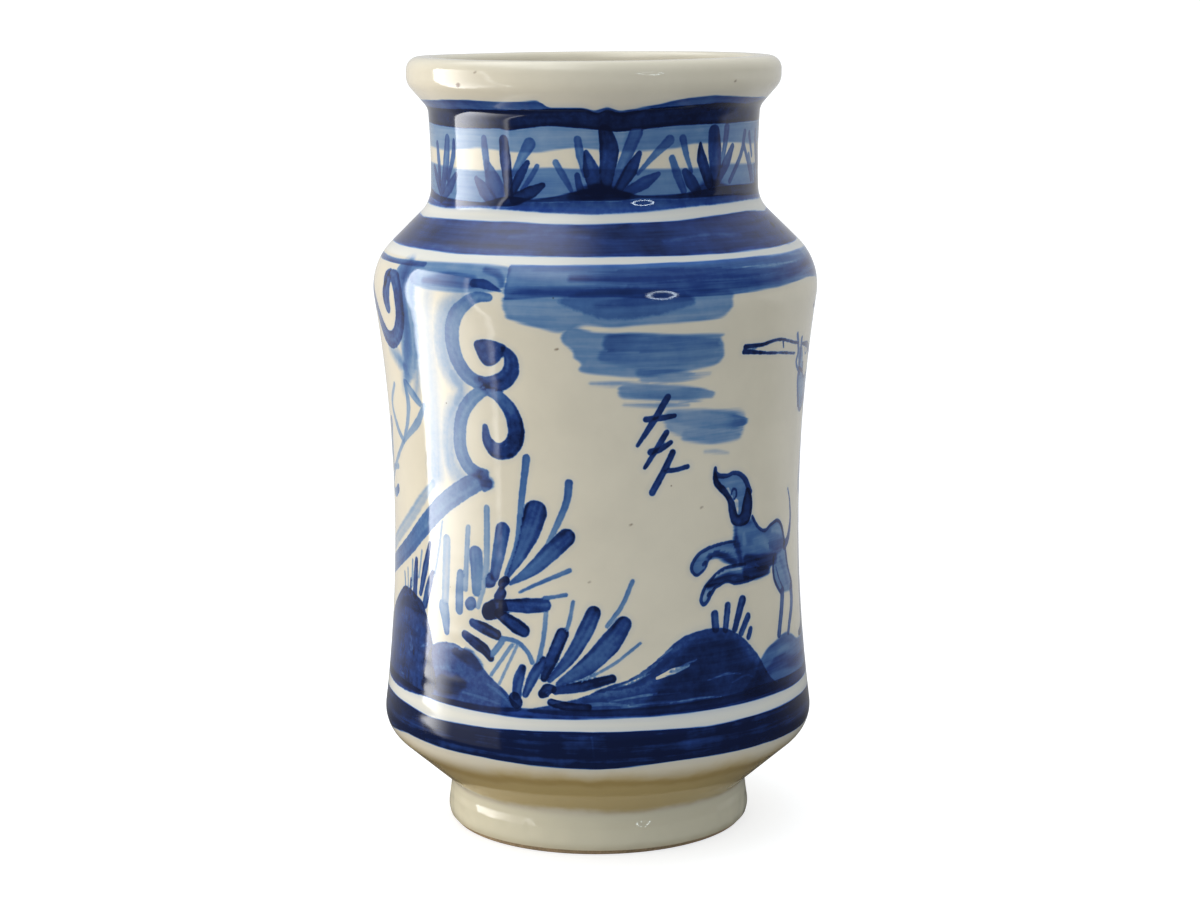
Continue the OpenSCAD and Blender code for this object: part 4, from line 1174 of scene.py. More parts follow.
def paint_hunter(work):
    """A hunter who aims a long gun to the left: washes for face, coat and sleeve, dark hat, hair and boots,
    and a brush-drawn outline."""
    work.strokes_of("line", 0.78, (
        ((40.8, 130, 47.3, 129.9, 52, 130.4, 56.4, 130.2, 62.8, 128.8, 66.4, 128.2),
         (0.62, 0.5, 0.42, 0.4, 0.38, 0.38)),
        ((40.6, 128.8, 45, 128.2, 49.3, 127.6, 57, 126.8, 64.6, 125.8), (0.7, 0.5, 0.38, 0.34, 0.34)),
        ((56.4, 130.2, 57.2, 128.2), 0.28),
        ((70, 127.6, 76, 126.6, 81, 124.2, 85.4, 121.4), (0.4, 0.8, 1.2, 1.8)),
        ((73.8, 126.4, 74.6, 124.4, 76.8, 124.8), 0.26),
    ))
    work.brush_all("leaf", (
        ((65, 130.6, 66.6, 128, 67.2, 125.6, 66.6, 123, 70.6, 119.8), (0.6, 0.7, 0.6, 0.5, 0.5), 0.5),
        ((69, 129, 69.6, 122.7, 69.4, 118.4, 72.1, 111.8), (0.7, 0.6, 0.6, 0.8), 0.46),
    ))
    work.patch("wash", (
        67.4, 126, 70.6, 126.4, 73, 122, 74.4, 118.8, 78, 118.4, 83, 121.6, 87.4, 120.6, 87, 115.6,
        81, 111.8, 75.4, 109.8, 72, 111.4, 70, 118.4,
    ), 0.34)
    work.patch("scroll", (
        84.6, 124.4, 88.2, 125.4, 92, 124.2, 95.2, 120, 96, 113, 94.4, 106, 97, 98, 99.6, 90.6, 96, 87.4,
        89, 86.4, 82.6, 87.2, 79.4, 89.6, 81, 98, 82.6, 105.4, 81.6, 111.4, 87, 115.4, 88.2, 119.6,
    ), 0.44)
    work.patch("wash", (
        83.4, 136, 82.8, 133.8, 81.9, 131.6, 82.6, 130, 83.2, 127.8, 85.2, 126.4, 88, 125.8, 89.6, 128,
        90, 132, 89.6, 136,
    ), 0.09)
    work.brush_all("shade", (
        ((94.2, 121, 94.6, 113, 93, 106.4, 95.6, 97, 97.2, 90), (0.8, 1.5, 1.2, 1.6, 1), 0.4),
        ((86, 104, 85, 96, 84, 88.6), (0.5, 1.2, 0.7), 0.36),
        ((90, 104, 91, 96, 91.4, 88), (0.5, 1.2, 0.7), 0.36),
        ((74.4, 111.6, 79.4, 112.8, 85, 116), (0.7, 1.2, 0.9), 0.36),
        ((89.6, 122, 90.4, 115, 89, 107.6), (0.8, 1.4, 0.7), -0.3),
        ((86, 130.4, 87.2, 129.4), 0.9, 0.12),
    ))
    work.patch("leaf", (
        88.8, 136, 91.6, 135.4, 92.8, 132, 92.2, 128, 94.4, 124.8, 92.6, 123.6, 90.4, 126, 89.6, 129.6,
    ), 0.7)
    work.patch("leaf", (
        77.6, 136.6, 82.4, 137.8, 83.4, 141, 86.4, 142.8, 90.4, 142.4, 92.6, 140, 93.6, 137.8, 98, 136.8,
        93, 135.4, 87, 135, 82, 135.2,
    ), DARK)
    work.strokes_of("leaf", MID, (
        ((84, 84, 83, 81, 82, 77.6), (2.3, 2.2, 1.6)),
        ((93.8, 84, 94.8, 81, 95.6, 77.6), (2.3, 2.2, 1.6)),
        ((92, 139.4, 95.4, 142.8, 99, 143), (0.5, 1.1, 0.5)),
        ((97.6, 102, 98.2, 98.6), 2.2),
    ))
    work.strokes_of("leaf", DARK, (
        ((82, 77, 81.2, 66, 80.6, 54.2), (1.8, 1.6, 1.3)),
        ((95.6, 77, 96.8, 66, 98, 55), (1.8, 1.6, 1.3)),
        ((80.8, 52.8, 78, 51.8, 75.2, 51.4), (1.5, 1.2, 0.8)),
        ((98.2, 53.8, 95.4, 53, 92.6, 52.8), (1.5, 1.2, 0.8)),
    ))
    work.strokes_of("line", 0.7, (
        ((83.4, 135.6, 82.9, 134, 82.7, 133.2, 81.8, 131.6, 82.8, 130.8, 82.7, 129.6, 83.2, 127.8,
          85.2, 126.4, 88, 125.8), 0.26),
        ((84.2, 132.9, 85.5, 132.9), 0.32),
        ((84, 134.3, 86, 134.4), 0.24),
        ((83.2, 129.4, 84.4, 129.3), 0.22),
        ((88.2, 132.4, 88.8, 131.2, 88.2, 130), 0.24),
        ((88.4, 125.6, 92.4, 124.4, 95.6, 120, 96.4, 113, 94.7, 106, 97.3, 98, 100, 90.6, 96, 87.2,
          89, 86.2, 82.4, 87, 79.2, 89.6, 80.8, 98, 82.4, 105.4, 81.8, 110.4), 0.4),
        ((72.1, 111.6, 75.4, 109.8, 81, 111.8, 87, 115.6, 87.8, 119.4), 0.4),
        ((73, 122.4, 74.6, 118.9, 78.2, 118.4, 82, 120.8), 0.34),
        ((70, 121.4, 73.6, 120), 0.5),
        ((82.4, 106, 88.4, 104.6, 94.7, 106), 0.7),
        ((86.6, 123.6, 91, 114, 96.6, 103.4), 0.5),
        ((87.4, 97.8, 92.4, 97.2), 0.4),
        ((83.8, 101.6, 83.9, 101.2), 0.6),
        ((83.2, 97.2, 83.3, 96.8), 0.6),
        ((82.6, 92.8, 82.7, 92.4), 0.6),
    ))
    work.brush("line", (83.6, 138, 88, 137.4, 93, 138), (0.3, 0.4, 0.3), -2)


def paint_tree(work):
    """A tree behind the hunter: a bent trunk, shaded on one side, and fans of leaves at the ends of its
    boughs."""
    rng = np.random.default_rng(41)
    work.patch("wash", (
        117.4, 42.6, 119.4, 48, 120.4, 56, 120.6, 68, 119.6, 80, 120.6, 86, 123.4, 86, 123.8, 79, 124.6, 67,
        124.4, 56, 125.6, 48, 127.6, 42.6,
    ), 0.42)
    work.brush("shade", (126, 43.4, 124.2, 50, 123.6, 57, 123.8, 67, 123, 79), (0.9, 1, 1, 0.9, 0.6), 0.5)
    work.strokes_of("line", DEEP, (
        ((116.4, 42.2, 119.2, 48, 120.2, 56, 120.4, 68, 119.4, 80, 120, 84), 0.4),
        ((128.6, 42.2, 125.8, 48, 124.6, 56, 124.8, 67, 124, 79, 124, 84), 0.5),
        ((121.4, 58, 122, 62), 0.3),
        ((122.4, 70, 121.8, 75), 0.3),
        ((113.6, 42, 112.4, 46, 110.6, 49.4), (0.6, 0.6, 0.3)),
        ((115, 42, 115, 46.4, 114.4, 50.6), (0.6, 0.6, 0.3)),
        ((130.4, 42, 131.4, 46, 133.4, 49), (0.6, 0.6, 0.3)),
    ))
    boughs = ((110, 97, 155), (113.6, 109, 120), (122, 116, 92), (130.6, 109, 62), (134, 97, 24))
    for angle, level, lean in boughs:
        bend = (0.45 * angle + 66.6, 0.5 * level + 45.5)
        work.brush("leaf", (121.8, 82, *bend, angle, level), (1.5, 0.9, 0.6), DEEP)
        for step, size in enumerate(rng.uniform(6.4, 9.2, 9)):
            way = math.radians(lean - 104 + 26 * step)
            bent = way + 0.3
            tip = (angle + size * math.cos(way), level + WALL_DEGREE * size * math.sin(way))
            side = (angle + 0.5 * size * math.cos(bent), level + 0.5 * WALL_DEGREE * size * math.sin(bent))
            work.brush("leaf", (angle, level, *side, *tip), (0.4, 1.2, 1.4), (0.5, 0.58, 0.74))


def paint_far_side(work):
    """The hidden side: the frame's other half, and beyond it the front's sky, hills and plants the other
    way round, with a tree behind the hunter."""
    far = work.moved(about=FRAME_MIDDLE, flip=True)
    paint_strapwork(far)
    paint_sprig(far)
    paint_posy(work)
    paint_sky(far)
    paint_clouds(work.moved(about=FRAME_MIDDLE, flip=True, turn=2, lift=1.5))
    paint_birds(work.moved(about=FRAME_MIDDLE, flip=True, turn=-4, lift=-3))
    paint_mounds_left(far)
    paint_mound_right(far)
    paint_fan_tall(far)
    paint_fan_low(far)
    paint_tree(work)


def paint_specks(work):
    """Specks of iron in the glaze and a few pits on the shoulder, where the photograph has them."""
    for angle, level, half, load in (
        (-44, 193.2, 0.55, 0.9), (-37, 196.4, 0.25, 0.7), (46, 193.8, 0.25, 0.8), (71, 157.4, 0.7, 1),
        (73, 155.4, 0.6, 1), (69.4, 159, 0.4, 0.9), (-9.6, 131.4, 0.3, 0.8), (9, 88, 0.28, 0.7),
        (29, 91, 0.3, 0.6), (-2, 74, 0.25, 0.6),
    ):
        work.brush("speck", (angle - 0.3, level - 0.1, angle + 0.3, level + 0.1), half, load)


@functools.cache
def brushwork():
    """The whole painting, worked out once for all the coats."""
    work = Brushwork()
    paint_neck(work)
    paint_wall_bands(work)
    paint_far_side(work)
    paint_strapwork(work)
    paint_sprig(work)
    paint_sky(work)
    paint_clouds(work)
    paint_birds(work)
    paint_ground(work)
    paint_mounds_left(work)
    paint_mound_right(work)
    paint_mound_pale(work)
    paint_fan_tall(work)
    paint_fan_low(work)
    paint_hound(work)
    paint_hunter(work)
    paint_specks(work)
    return work


# Coats of glaze


def ring_mesh(name, points, sharp_rows):
    """Closed ring from a grid of points: rows run round its section, columns round the jar, and both close
    on themselves. Chosen rows are sharp, and the bake map lays the ring out in four strips, one above
    another."""
    rows, columns = points.shape[:2]
    index = np.arange(rows * columns).reshape(rows, columns)
    up, across = np.roll(index, -1, 0), np.roll(index, -1, 1)
    faces = np.stack([index, across, np.roll(up, -1, 1), up], -1).reshape(-1, 4)
    mesh = bpy.data.meshes.new(name)
    mesh.vertices.add(rows * columns)
    mesh.vertices.foreach_set("co", (points / MM).astype(np.float32).ravel())
    mesh.loops.add(faces.size)
    mesh.loops.foreach_set("vertex_index", faces.astype(np.int32).ravel())
    mesh.polygons.add(len(faces))
    mesh.polygons.foreach_set("loop_start", np.arange(0, faces.size, 4, dtype=np.int32))
    mesh.update(calc_edges=True)
    mesh.shade_smooth()
    ends = np.empty(len(mesh.edges) * 2, np.int32)
    mesh.edges.foreach_get("vertices", ends)
    row_of = ends.reshape(-1, 2) // columns
    sharp = (row_of[:, 0] == row_of[:, 1]) & np.isin(row_of[:, 0], sharp_rows)
    mesh.attributes.new("sharp_edge", "BOOLEAN", "EDGE").data.foreach_set("value", sharp)
    mesh.uv_layers.new(name="OFBake").data.foreach_set("uv", strip_map(rows, columns).ravel())
    return mesh


def strip_map(rows, columns):
    """Places of each face's corners on the bake map: a quarter of the ring to a strip, rows up the
    strip."""
    quarter = columns // 4
    i, j = np.meshgrid(np.arange(rows), np.arange(columns), indexing="ij")
    strip, along = j // quarter, j % quarter
    across = np.stack([along, along + 1, along + 1, along], -1) / quarter
    up = np.stack([i, i, i + 1, i + 1], -1) / rows
    u = STRIP_SIDE + (1 - 2 * STRIP_SIDE) * across
    v = (strip[..., None] + STRIP_EDGE + (1 - 2 * STRIP_EDGE) * up) / 4
    return np.stack([u, v], -1).astype(np.float32).reshape(-1, 2)


def coat(
    context, name, start, end, nodes, material,
    work=None, degree=WALL_DEGREE, ridge=RIDGE, step=ROW_STEP, columns=COLUMNS,
):
    """A coat of glaze between two distances along the profile: its face stands on the profile plus the
    thrown waves, its back lies under the face, and the face carries the depth and load of each layer of
    paint."""
    profile = Profile(context.scene.jar_sizes)
    count = max(6, int(round((end - start) / step)) + 1)
    distance = np.concatenate([np.linspace(start, end, count), np.linspace(end, start, BACK_ROWS)])
    depth = np.concatenate([np.zeros(count), np.full(BACK_ROWS, COAT_DEPTH)])
    angle = -180.0 + 360.0 * np.arange(columns) / columns
    radius, height, normal = profile.rows(distance)
    out = thrown(distance, angle, ridge) - depth[:, None]
    r = radius[:, None] + normal[:, :1] * out
    z = height[:, None] + normal[:, 1:] * out
    turn = np.radians(angle)[None, :]
    points = np.stack([r * np.sin(turn), -r * np.cos(turn), z], -1)
    mesh = ring_mesh(name, points, (0, count - 1, count, len(distance) - 1))
    level = height[:count] + np.where(distance[:count] > profile.crest, OUT_OF_REACH, 0.0)
    back = np.zeros((BACK_ROWS, columns))
    if work:
        for layer, (layer_depth, load) in work.laid_on(angle, level, degree).items():
            put_values(mesh, layer + "_depth", np.vstack([layer_depth, back - FAR]))
            put_values(mesh, layer + "_load", np.vstack([load, back]))
    made(context, name, mesh, material, nodes)


def painted_coat(context, name, start, end, nodes, degree=WALL_DEGREE, step=ROW_STEP):
    """A coat with the painting on it."""
    glaze = painted_glaze(context.scene.jar_colours)
    coat(context, name, start, end, nodes, glaze, brushwork(), degree, step=step)


def put_values(mesh, name, values):
    """One number for each vertex."""
    mesh.attributes.new(name, "FLOAT", "POINT").data.foreach_set("value", values.astype(np.float32).ravel())


def made(context, name, mesh, material, nodes):
    """An object of a mesh that rides on the jar, takes its material and stands for its nodes, which it hides.
    """
    piece = bpy.data.objects.new(name, mesh)
    context.scene.collection.objects.link(piece)
    mesh.materials.append(material)
    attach(piece, "root")
    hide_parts(*nodes)


# Materials


def put(tree, kind, inputs=None, **settings):
    """A node with its settings and its inputs, each a value or another node's output."""
    node = tree.nodes.new(kind)
    for key, value in settings.items():
        setattr(node, key, value)
    for key, value in (inputs or {}).items():
        if isinstance(value, bpy.types.NodeSocket):
            tree.links.new(value, node.inputs[key])
        else:
            node.inputs[key].default_value = value
    return node


def calc(tree, operation, first, second=0.0, third=0.0, clamp=False):
    """The result of one sum."""
    inputs = {0: first, 1: second, 2: third}
    return put(tree, "ShaderNodeMath", inputs, operation=operation, use_clamp=clamp).outputs[0]


def between(tree, value, low, high, to_low=0.0, to_high=1.0, smooth=True):
    """A value carried from one range to another."""
    inputs = {0: value, 1: low, 2: high, 3: to_low, 4: to_high}
    kind = "SMOOTHSTEP" if smooth else "LINEAR"
    return put(tree, "ShaderNodeMapRange", inputs, interpolation_type=kind).outputs[0]


def blended(tree, factor, first, second, kind="MIX"):
    """Two colours mixed."""
    inputs = {0: factor, 6: first, 7: second}
    return put(tree, "ShaderNodeMix", inputs, data_type="RGBA", blend_type=kind).outputs[2]


def object_spot(tree):
    """Places on the piece, in metres."""
    return put(tree, "ShaderNodeTexCoord").outputs["Object"]


def part_of(tree, vector, axis):
    """One part of a vector."""
    return put(tree, "ShaderNodeSeparateXYZ", {0: vector}).outputs[axis]


def noise(tree, spot, scale, detail, roughness=0.5):
    """Clouded numbers round a half."""
    inputs = {"Vector": spot, "Scale": scale, "Detail": detail, "Roughness": roughness}
    return put(tree, "ShaderNodeTexNoise", inputs).outputs[0]


def opaque(colour):
    """A colour with full alpha."""
    return (*colour, 1.0)


def new_group(name, inputs, outputs):
    """An empty node group with named numbers in and out."""
    group = bpy.data.node_groups.new(name, "ShaderNodeTree")
    for label in inputs:
        group.interface.new_socket(name=label, in_out="INPUT", socket_type="NodeSocketFloat")
    for label in outputs:
        group.interface.new_socket(name=label, in_out="OUTPUT", socket_type="NodeSocketFloat")
    return group, put(group, "NodeGroupInput").outputs, put(group, "NodeGroupOutput").inputs


def streak_group():
    """Brush_Streaks: long level streaks as the turning wheel leaves them, fine grain, and wet blotches."""
    group, _, out = new_group("Brush_Streaks", (), ("Streak", "Grain", "Blotch"))
    spot = object_spot(group)
    long = put(group, "ShaderNodeMapping", {"Vector": spot, "Scale": (32.0, 32.0, 700.0)}).outputs[0]
    marks = {
        "Streak": noise(group, long, 1.0, 4.0, 0.6),
        "Grain": noise(group, spot, 650.0, 3.0, 0.6),
        "Blotch": noise(group, spot, 170.0, 3.0, 0.6),
    }
    for name, value in marks.items():
        group.links.new(calc(group, "MULTIPLY_ADD", value, 3.2, -1.6), out[name])
    return group


def cobalt_group():
    """Cobalt_Layer: how much cobalt a layer holds at a spot, from the depth inside its strokes. The edge is
    soft and ragged, paint pools along it, thins in the middle and bleeds a little outside, and streaks and
    blotches run through it."""
    names = ("Depth", "Load", "Rag", "Streak", "Blotch", "Soft", "Ragged", "Pool", "Streaking")
    group, given, out = new_group("Cobalt_Layer", names, ("Density",))
    edge = calc(group, "MULTIPLY_ADD", given["Rag"], given["Ragged"], given["Depth"])
    under = calc(group, "MULTIPLY", given["Soft"], -1.0)
    cover = between(group, edge, under, given["Soft"])
    pool = calc(group, "MULTIPLY", between(group, edge, 0.1, 1.3, 1.0, -0.35), given["Pool"])
    pool = calc(group, "MULTIPLY", pool, calc(group, "MULTIPLY_ADD", given["Blotch"], 0.5, 1.0))
    tone = calc(group, "MULTIPLY_ADD", given["Streak"], given["Streaking"], 1.0)
    tone = calc(group, "MULTIPLY_ADD", given["Blotch"], 0.17, tone)
    tone = calc(group, "MAXIMUM", calc(group, "ADD", tone, pool), 0.15)
    tone = calc(group, "MULTIPLY_ADD", cover, tone, between(group, edge, -1.9, 0.1, 0.0, 0.04))
    density = calc(group, "MULTIPLY", given["Load"], tone)
    group.links.new(calc(group, "MINIMUM", density, 0.97), out["Density"])
    return group


def skin_group():
    """Glaze_Skin: ripples of the glaze's surface, lumps where it ran down the foot, changes of its gloss
    and tone, and sparse pinholes."""
    group, _, out = new_group("Glaze_Skin", (), ("Height", "Sag", "Gloss", "Tone", "Pinhole"))
    spot = object_spot(group)
    wide = noise(group, spot, 130.0, 2.0)
    peel = noise(group, spot, 900.0, 2.0)
    group.links.new(calc(group, "MULTIPLY_ADD", peel, 0.015, wide), out["Height"])
    foot = between(group, part_of(group, spot, "Z"), 0.0065, 0.009, 1.0, 0.0)
    lumps = noise(group, spot, 150.0, 1.0)
    group.links.new(calc(group, "MULTIPLY", lumps, foot), out["Sag"])
    group.links.new(between(group, wide, 0.35, 0.65), out["Gloss"])
    slow = noise(group, spot, 38.0, 4.0, 0.6)
    group.links.new(between(group, slow, 0.3, 0.7), out["Tone"])
    cells = put(group, "ShaderNodeTexVoronoi", {"Vector": spot, "Scale": 110.0})
    lot = put(group, "ShaderNodeSeparateColor", {0: cells.outputs["Color"]}).outputs[0]
    chosen = calc(group, "GREATER_THAN", lot, 0.72)
    hole = between(group, cells.outputs["Distance"], 0.018, 0.034, 1.0, 0.0)
    group.links.new(calc(group, "MULTIPLY", hole, chosen), out["Pinhole"])
    return group


def attribute(tree, name):
    """A number that the piece carries."""
    return put(tree, "ShaderNodeAttribute", attribute_name=name).outputs["Fac"]


def placed_group(tree, name, maker, inputs=None):
    """A shared node group in a material, made when it is first used."""
    group = bpy.data.node_groups.get(name) or maker()
    return put(tree, "ShaderNodeGroup", inputs, node_tree=group).outputs


def blended_value(tree, factor, first, second):
    """Two numbers mixed."""
    return calc(tree, "MULTIPLY_ADD", calc(tree, "SUBTRACT", second, first), factor, first)


def lamp_material(name):
    """An empty material and its tree."""
    material = bpy.data.materials.new(name)
    material.use_nodes = True
    material.node_tree.nodes.clear()
    return material, material.node_tree


def new_material(name):
    """An empty material with its shader."""
    material, tree = lamp_material(name)
    shader = put(tree, "ShaderNodeBsdfPrincipled")
    put(tree, "ShaderNodeOutputMaterial", {"Surface": shader.outputs[0]})
    return material, tree, shader


# Soft edge and ragged edge of each layer in millimetres, its pooling and streaks, and whether streaks tear it
LAYER_HAND = {
    "wash": (0.45, 0.24, 0.05, 0.24, True),
    "broad": (0.24, 0.34, 0.08, 0.26, True),
    "mist": (2.2, 0.3, 0.0, 0.12, False),
    "shade": (0.65, 0.40, 0.0, 0.32, True),
    "scroll": (0.22, 0.14, 0.05, 0.18, False),
    "leaf": (0.2, 0.12, 0.14, 0.14, False),
    "line": (0.17, 0.10, 0.08, 0.12, False),
}


def cobalt_density(tree, streaks):
    """Cobalt of all the layers together: each covers its share of what the others leave clear."""
    clear = 1.0
    for layer, (soft, ragged, pool, streaking, torn) in LAYER_HAND.items():
        inputs = {
            "Depth": attribute(tree, layer + "_depth"),
            "Load": attribute(tree, layer + "_load"),
            "Rag": streaks["Streak" if torn else "Grain"],
            "Streak": streaks["Streak" if torn else "Grain"],
            "Blotch": streaks["Blotch"],
            "Soft": soft,
            "Ragged": ragged,
            "Pool": pool,
            "Streaking": streaking,
        }
        density = placed_group(tree, "Cobalt_Layer", cobalt_group, inputs)["Density"]
        clear = calc(tree, "MULTIPLY", calc(tree, "SUBTRACT", 1.0, density), clear)
    return calc(tree, "SUBTRACT", 1.0, clear, clamp=True)


def glaze_colour(tree, colours, skin):
    """Cream glaze with a slow change of tone, whiter in the clear lines, thin and brown above the foot, with
    painted shade in that brown and in a darker line across it, and with pinholes and specks of iron."""
    cream = opaque(colours.glaze)
    dull = opaque([0.93 * value for value in colours.glaze])
    colour = blended(tree, skin["Tone"], cream, dull)
    level = part_of(tree, object_spot(tree), "Z")
    white = 0.0
    for middle, half in CLEAR_LINES:
        off = calc(tree, "ABSOLUTE", calc(tree, "SUBTRACT", level, middle / MM))
        white = calc(tree, "MAXIMUM", between(tree, off, 0.6 * half / MM, half / MM, 1.0, 0.0), white)
    colour = blended(tree, white, colour, opaque(colours.clear_line))
    # Thin brown glaze on the cone with a brown line in it: both partly painted shade, the line along the
    # cone's lower corner
    uneven = calc(tree, "MULTIPLY_ADD", calc(tree, "SUBTRACT", skin["Tone"], 0.5), 0.0022, level)
    fall = between(tree, uneven, *THIN_END, 0.94, 0.0)
    thin = calc(tree, "MULTIPLY", between(tree, uneven, *THIN_START), fall)
    colour = blended(tree, thin, colour, opaque(colours.thin_glaze_and_shade))
    fall = between(tree, uneven, *LINE_END, 0.6, 0.0)
    line = calc(tree, "MULTIPLY", between(tree, uneven, *LINE_START), fall)
    colour = blended(tree, line, colour, opaque(colours.run_and_shade_line))
    colour = blended(tree, between(tree, level, *FOOT_END, 1.0, 0.0), colour, opaque(colours.foot_glaze))
    colour = blended(tree, between(tree, level, *WORN_END, 0.3, 0.0), colour, opaque(colours.thin_glaze_and_shade))
    speck = between(tree, attribute(tree, "speck_depth"), -0.2, 0.3)
    speck = calc(tree, "MULTIPLY", speck, attribute(tree, "speck_load"))
    marks = calc(tree, "MAXIMUM", calc(tree, "MULTIPLY", skin["Pinhole"], 0.6), speck)
    return blended(tree, marks, colour, opaque(colours.stain))


def finish_glaze(tree, shader, colours, skin, colour):
    """Gloss, ripples and colour of a glaze on its shader."""
    tree.links.new(colour, shader.inputs["Base Color"])
    dullest = colours.roughness + DULLING
    rough = between(tree, skin["Gloss"], 0.0, 1.0, colours.roughness, dullest, smooth=False)
    tree.links.new(rough, shader.inputs["Roughness"])
    shader.inputs["IOR"].default_value = 1.5
    height = calc(tree, "SUBTRACT", skin["Height"], skin["Pinhole"])
    lumps = {"Height": skin["Sag"], "Strength": 0.6, "Distance": 0.0012}
    sag = put(tree, "ShaderNodeBump", lumps).outputs[0]
    ripples = {"Height": height, "Strength": 0.06, "Distance": 0.0004, "Normal": sag}
    bump = put(tree, "ShaderNodeBump", ripples)
    tree.links.new(bump.outputs[0], shader.inputs["Normal"])


def painted_glaze(colours):
    """Tin glaze with cobalt sunk into it: the cream times what the cobalt lets through."""
    found = bpy.data.materials.get("painted_glaze")
    if found:
        return found
    material, tree, shader = new_material("painted_glaze")
    skin = placed_group(tree, "Glaze_Skin", skin_group)
    streaks = placed_group(tree, "Brush_Streaks", streak_group)
    through = put(tree, "ShaderNodeValToRGB", {"Fac": cobalt_density(tree, streaks)})
    ramp = through.color_ramp
    stops = (
        (0.0, (1.0, 1.0, 1.0)),
        (0.22, colours.cobalt_pale),
        (0.36, colours.cobalt_soft),
        (0.5, colours.cobalt_mid),
        (0.75, colours.cobalt_deep),
        (1.0, colours.cobalt_dark),
    )
    while len(ramp.elements) < len(stops):
        ramp.elements.new(0.5)
    for element, (place, colour) in zip(ramp.elements, stops):
        element.position = place
        element.color = opaque(colour)
    cream = glaze_colour(tree, colours, skin)
    painted = blended(tree, 1.0, cream, through.outputs["Color"], "MULTIPLY")
    finish_glaze(tree, shader, colours, skin, painted)
    return material


def white_glaze(colours):
    """Plain tin glaze of the inside."""
    found = bpy.data.materials.get("white_glaze")
    if found:
        return found
    material, tree, shader = new_material("white_glaze")
    skin = placed_group(tree, "Glaze_Skin", skin_group)
    cream = opaque(colours.glaze)
    dull = opaque([0.9 * value for value in colours.glaze])
    colour = blended(tree, skin["Tone"], cream, dull)
    colour = blended(tree, calc(tree, "MULTIPLY", skin["Pinhole"], 0.6), colour, opaque(colours.stain))
    finish_glaze(tree, shader, colours, skin, colour)
    return material


def fired_clay(name, colour):
    """Bare fired clay: sandy grain, darker flecks and a rough face."""
    material, tree, shader = new_material(name)
    spot = object_spot(tree)
    sand = noise(tree, spot, 1400.0, 4.0)
    slow = noise(tree, spot, 90.0, 3.0)
    pale = opaque([min(1.0, 1.12 * value) for value in colour])
    dark = opaque([0.72 * value for value in colour])
    mixed = calc(tree, "MULTIPLY_ADD", sand, 0.6, calc(tree, "MULTIPLY", slow, 0.5))
    tree.links.new(blended(tree, between(tree, mixed, 0.35, 0.75), dark, pale), shader.inputs["Base Color"])
    tree.links.new(between(tree, sand, 0.3, 0.7, 0.78, 0.95, smooth=False), shader.inputs["Roughness"])
    bump = put(tree, "ShaderNodeBump", {"Height": sand, "Strength": 0.35, "Distance": 0.0004})
    tree.links.new(bump.outputs[0], shader.inputs["Normal"])
    return material


# Operators


class JAR_OT_foot_coat(bpy.types.Operator):
    """Glaze on the foot and the cone above it"""

    bl_idname = "jar.foot_coat"
    bl_label = "Foot coat"

    def execute(self, context):
        profile = Profile(context.scene.jar_sizes)
        start = profile.at_height(context.scene.jar_sizes.bare_h * MM)
        end = profile.at_height(FOOT_TOP)
        painted_coat(context, "foot_coat", start, end, ("outer_glaze",), step=FOOT_STEP)
        return {"FINISHED"}


class JAR_OT_wall_coats(bpy.types.Operator):
    """Painted glaze on the waisted wall, in three rings"""

    bl_idname = "jar.wall_coats"
    bl_label = "Wall coats"

    def execute(self, context):
        profile = Profile(context.scene.jar_sizes)
        rings = (
            ("wall_coat_low", FOOT_TOP, LOW_TOP, ("outer_glaze", "base_band")),
            ("wall_coat_middle", LOW_TOP, MIDDLE_TOP, ("outer_glaze",)),
            ("wall_coat_high", MIDDLE_TOP, WALL_TOP, ("outer_glaze",)),
        )
        for name, low, high, nodes in rings:
            painted_coat(context, name, profile.at_height(low), profile.at_height(high), nodes)
        return {"FINISHED"}


class JAR_OT_shoulder_coat(bpy.types.Operator):
    """Painted glaze on the shoulder"""

    bl_idname = "jar.shoulder_coat"
    bl_label = "Shoulder coat"

    def execute(self, context):
        profile = Profile(context.scene.jar_sizes)
        start, end = profile.at_height(WALL_TOP), profile.at_height(SHOULDER_TOP)
        painted_coat(context, "shoulder_coat", start, end, ("outer_glaze", "sky_band", "shoulder_band"))
        return {"FINISHED"}


class JAR_OT_neck_coat(bpy.types.Operator):
    """Painted glaze on the neck"""

    bl_idname = "jar.neck_coat"
    bl_label = "Neck coat"

    def execute(self, context):
        profile = Profile(context.scene.jar_sizes)
        start, end = profile.at_height(SHOULDER_TOP), profile.at_height(NECK_TOP)
        nodes = ("outer_glaze", "shoulder_band", "ground_band")
        painted_coat(context, "neck_coat", start, end, nodes, NECK_DEGREE)
        return {"FINISHED"}


class JAR_OT_rim_coat(bpy.types.Operator):
    """Painted glaze on the rolled rim and into the mouth"""

    bl_idname = "jar.rim_coat"
    bl_label = "Rim coat"

    def execute(self, context):
        profile = Profile(context.scene.jar_sizes)
        start, end = profile.at_height(NECK_TOP), profile.inside_at(RIM_END)
        painted_coat(context, "rim_coat", start, end, ("outer_glaze", "lip_band"), NECK_DEGREE)
        return {"FINISHED"}


class JAR_OT_lining(bpy.types.Operator):
    """Plain glaze inside, with throwing rings"""

    bl_idname = "jar.lining"
    bl_label = "Lining"

    def execute(self, context):
        profile = Profile(context.scene.jar_sizes)
        glaze = white_glaze(context.scene.jar_colours)
        start, end = profile.inside_at(RIM_END), profile.run[-1] - LINING_GAP
        coat(
            context, "lining", start, end, ("inner_glaze",), glaze,
            ridge=INNER_RIDGE, step=LINING_STEP, columns=LINING_COLUMNS,
        )
        return {"FINISHED"}


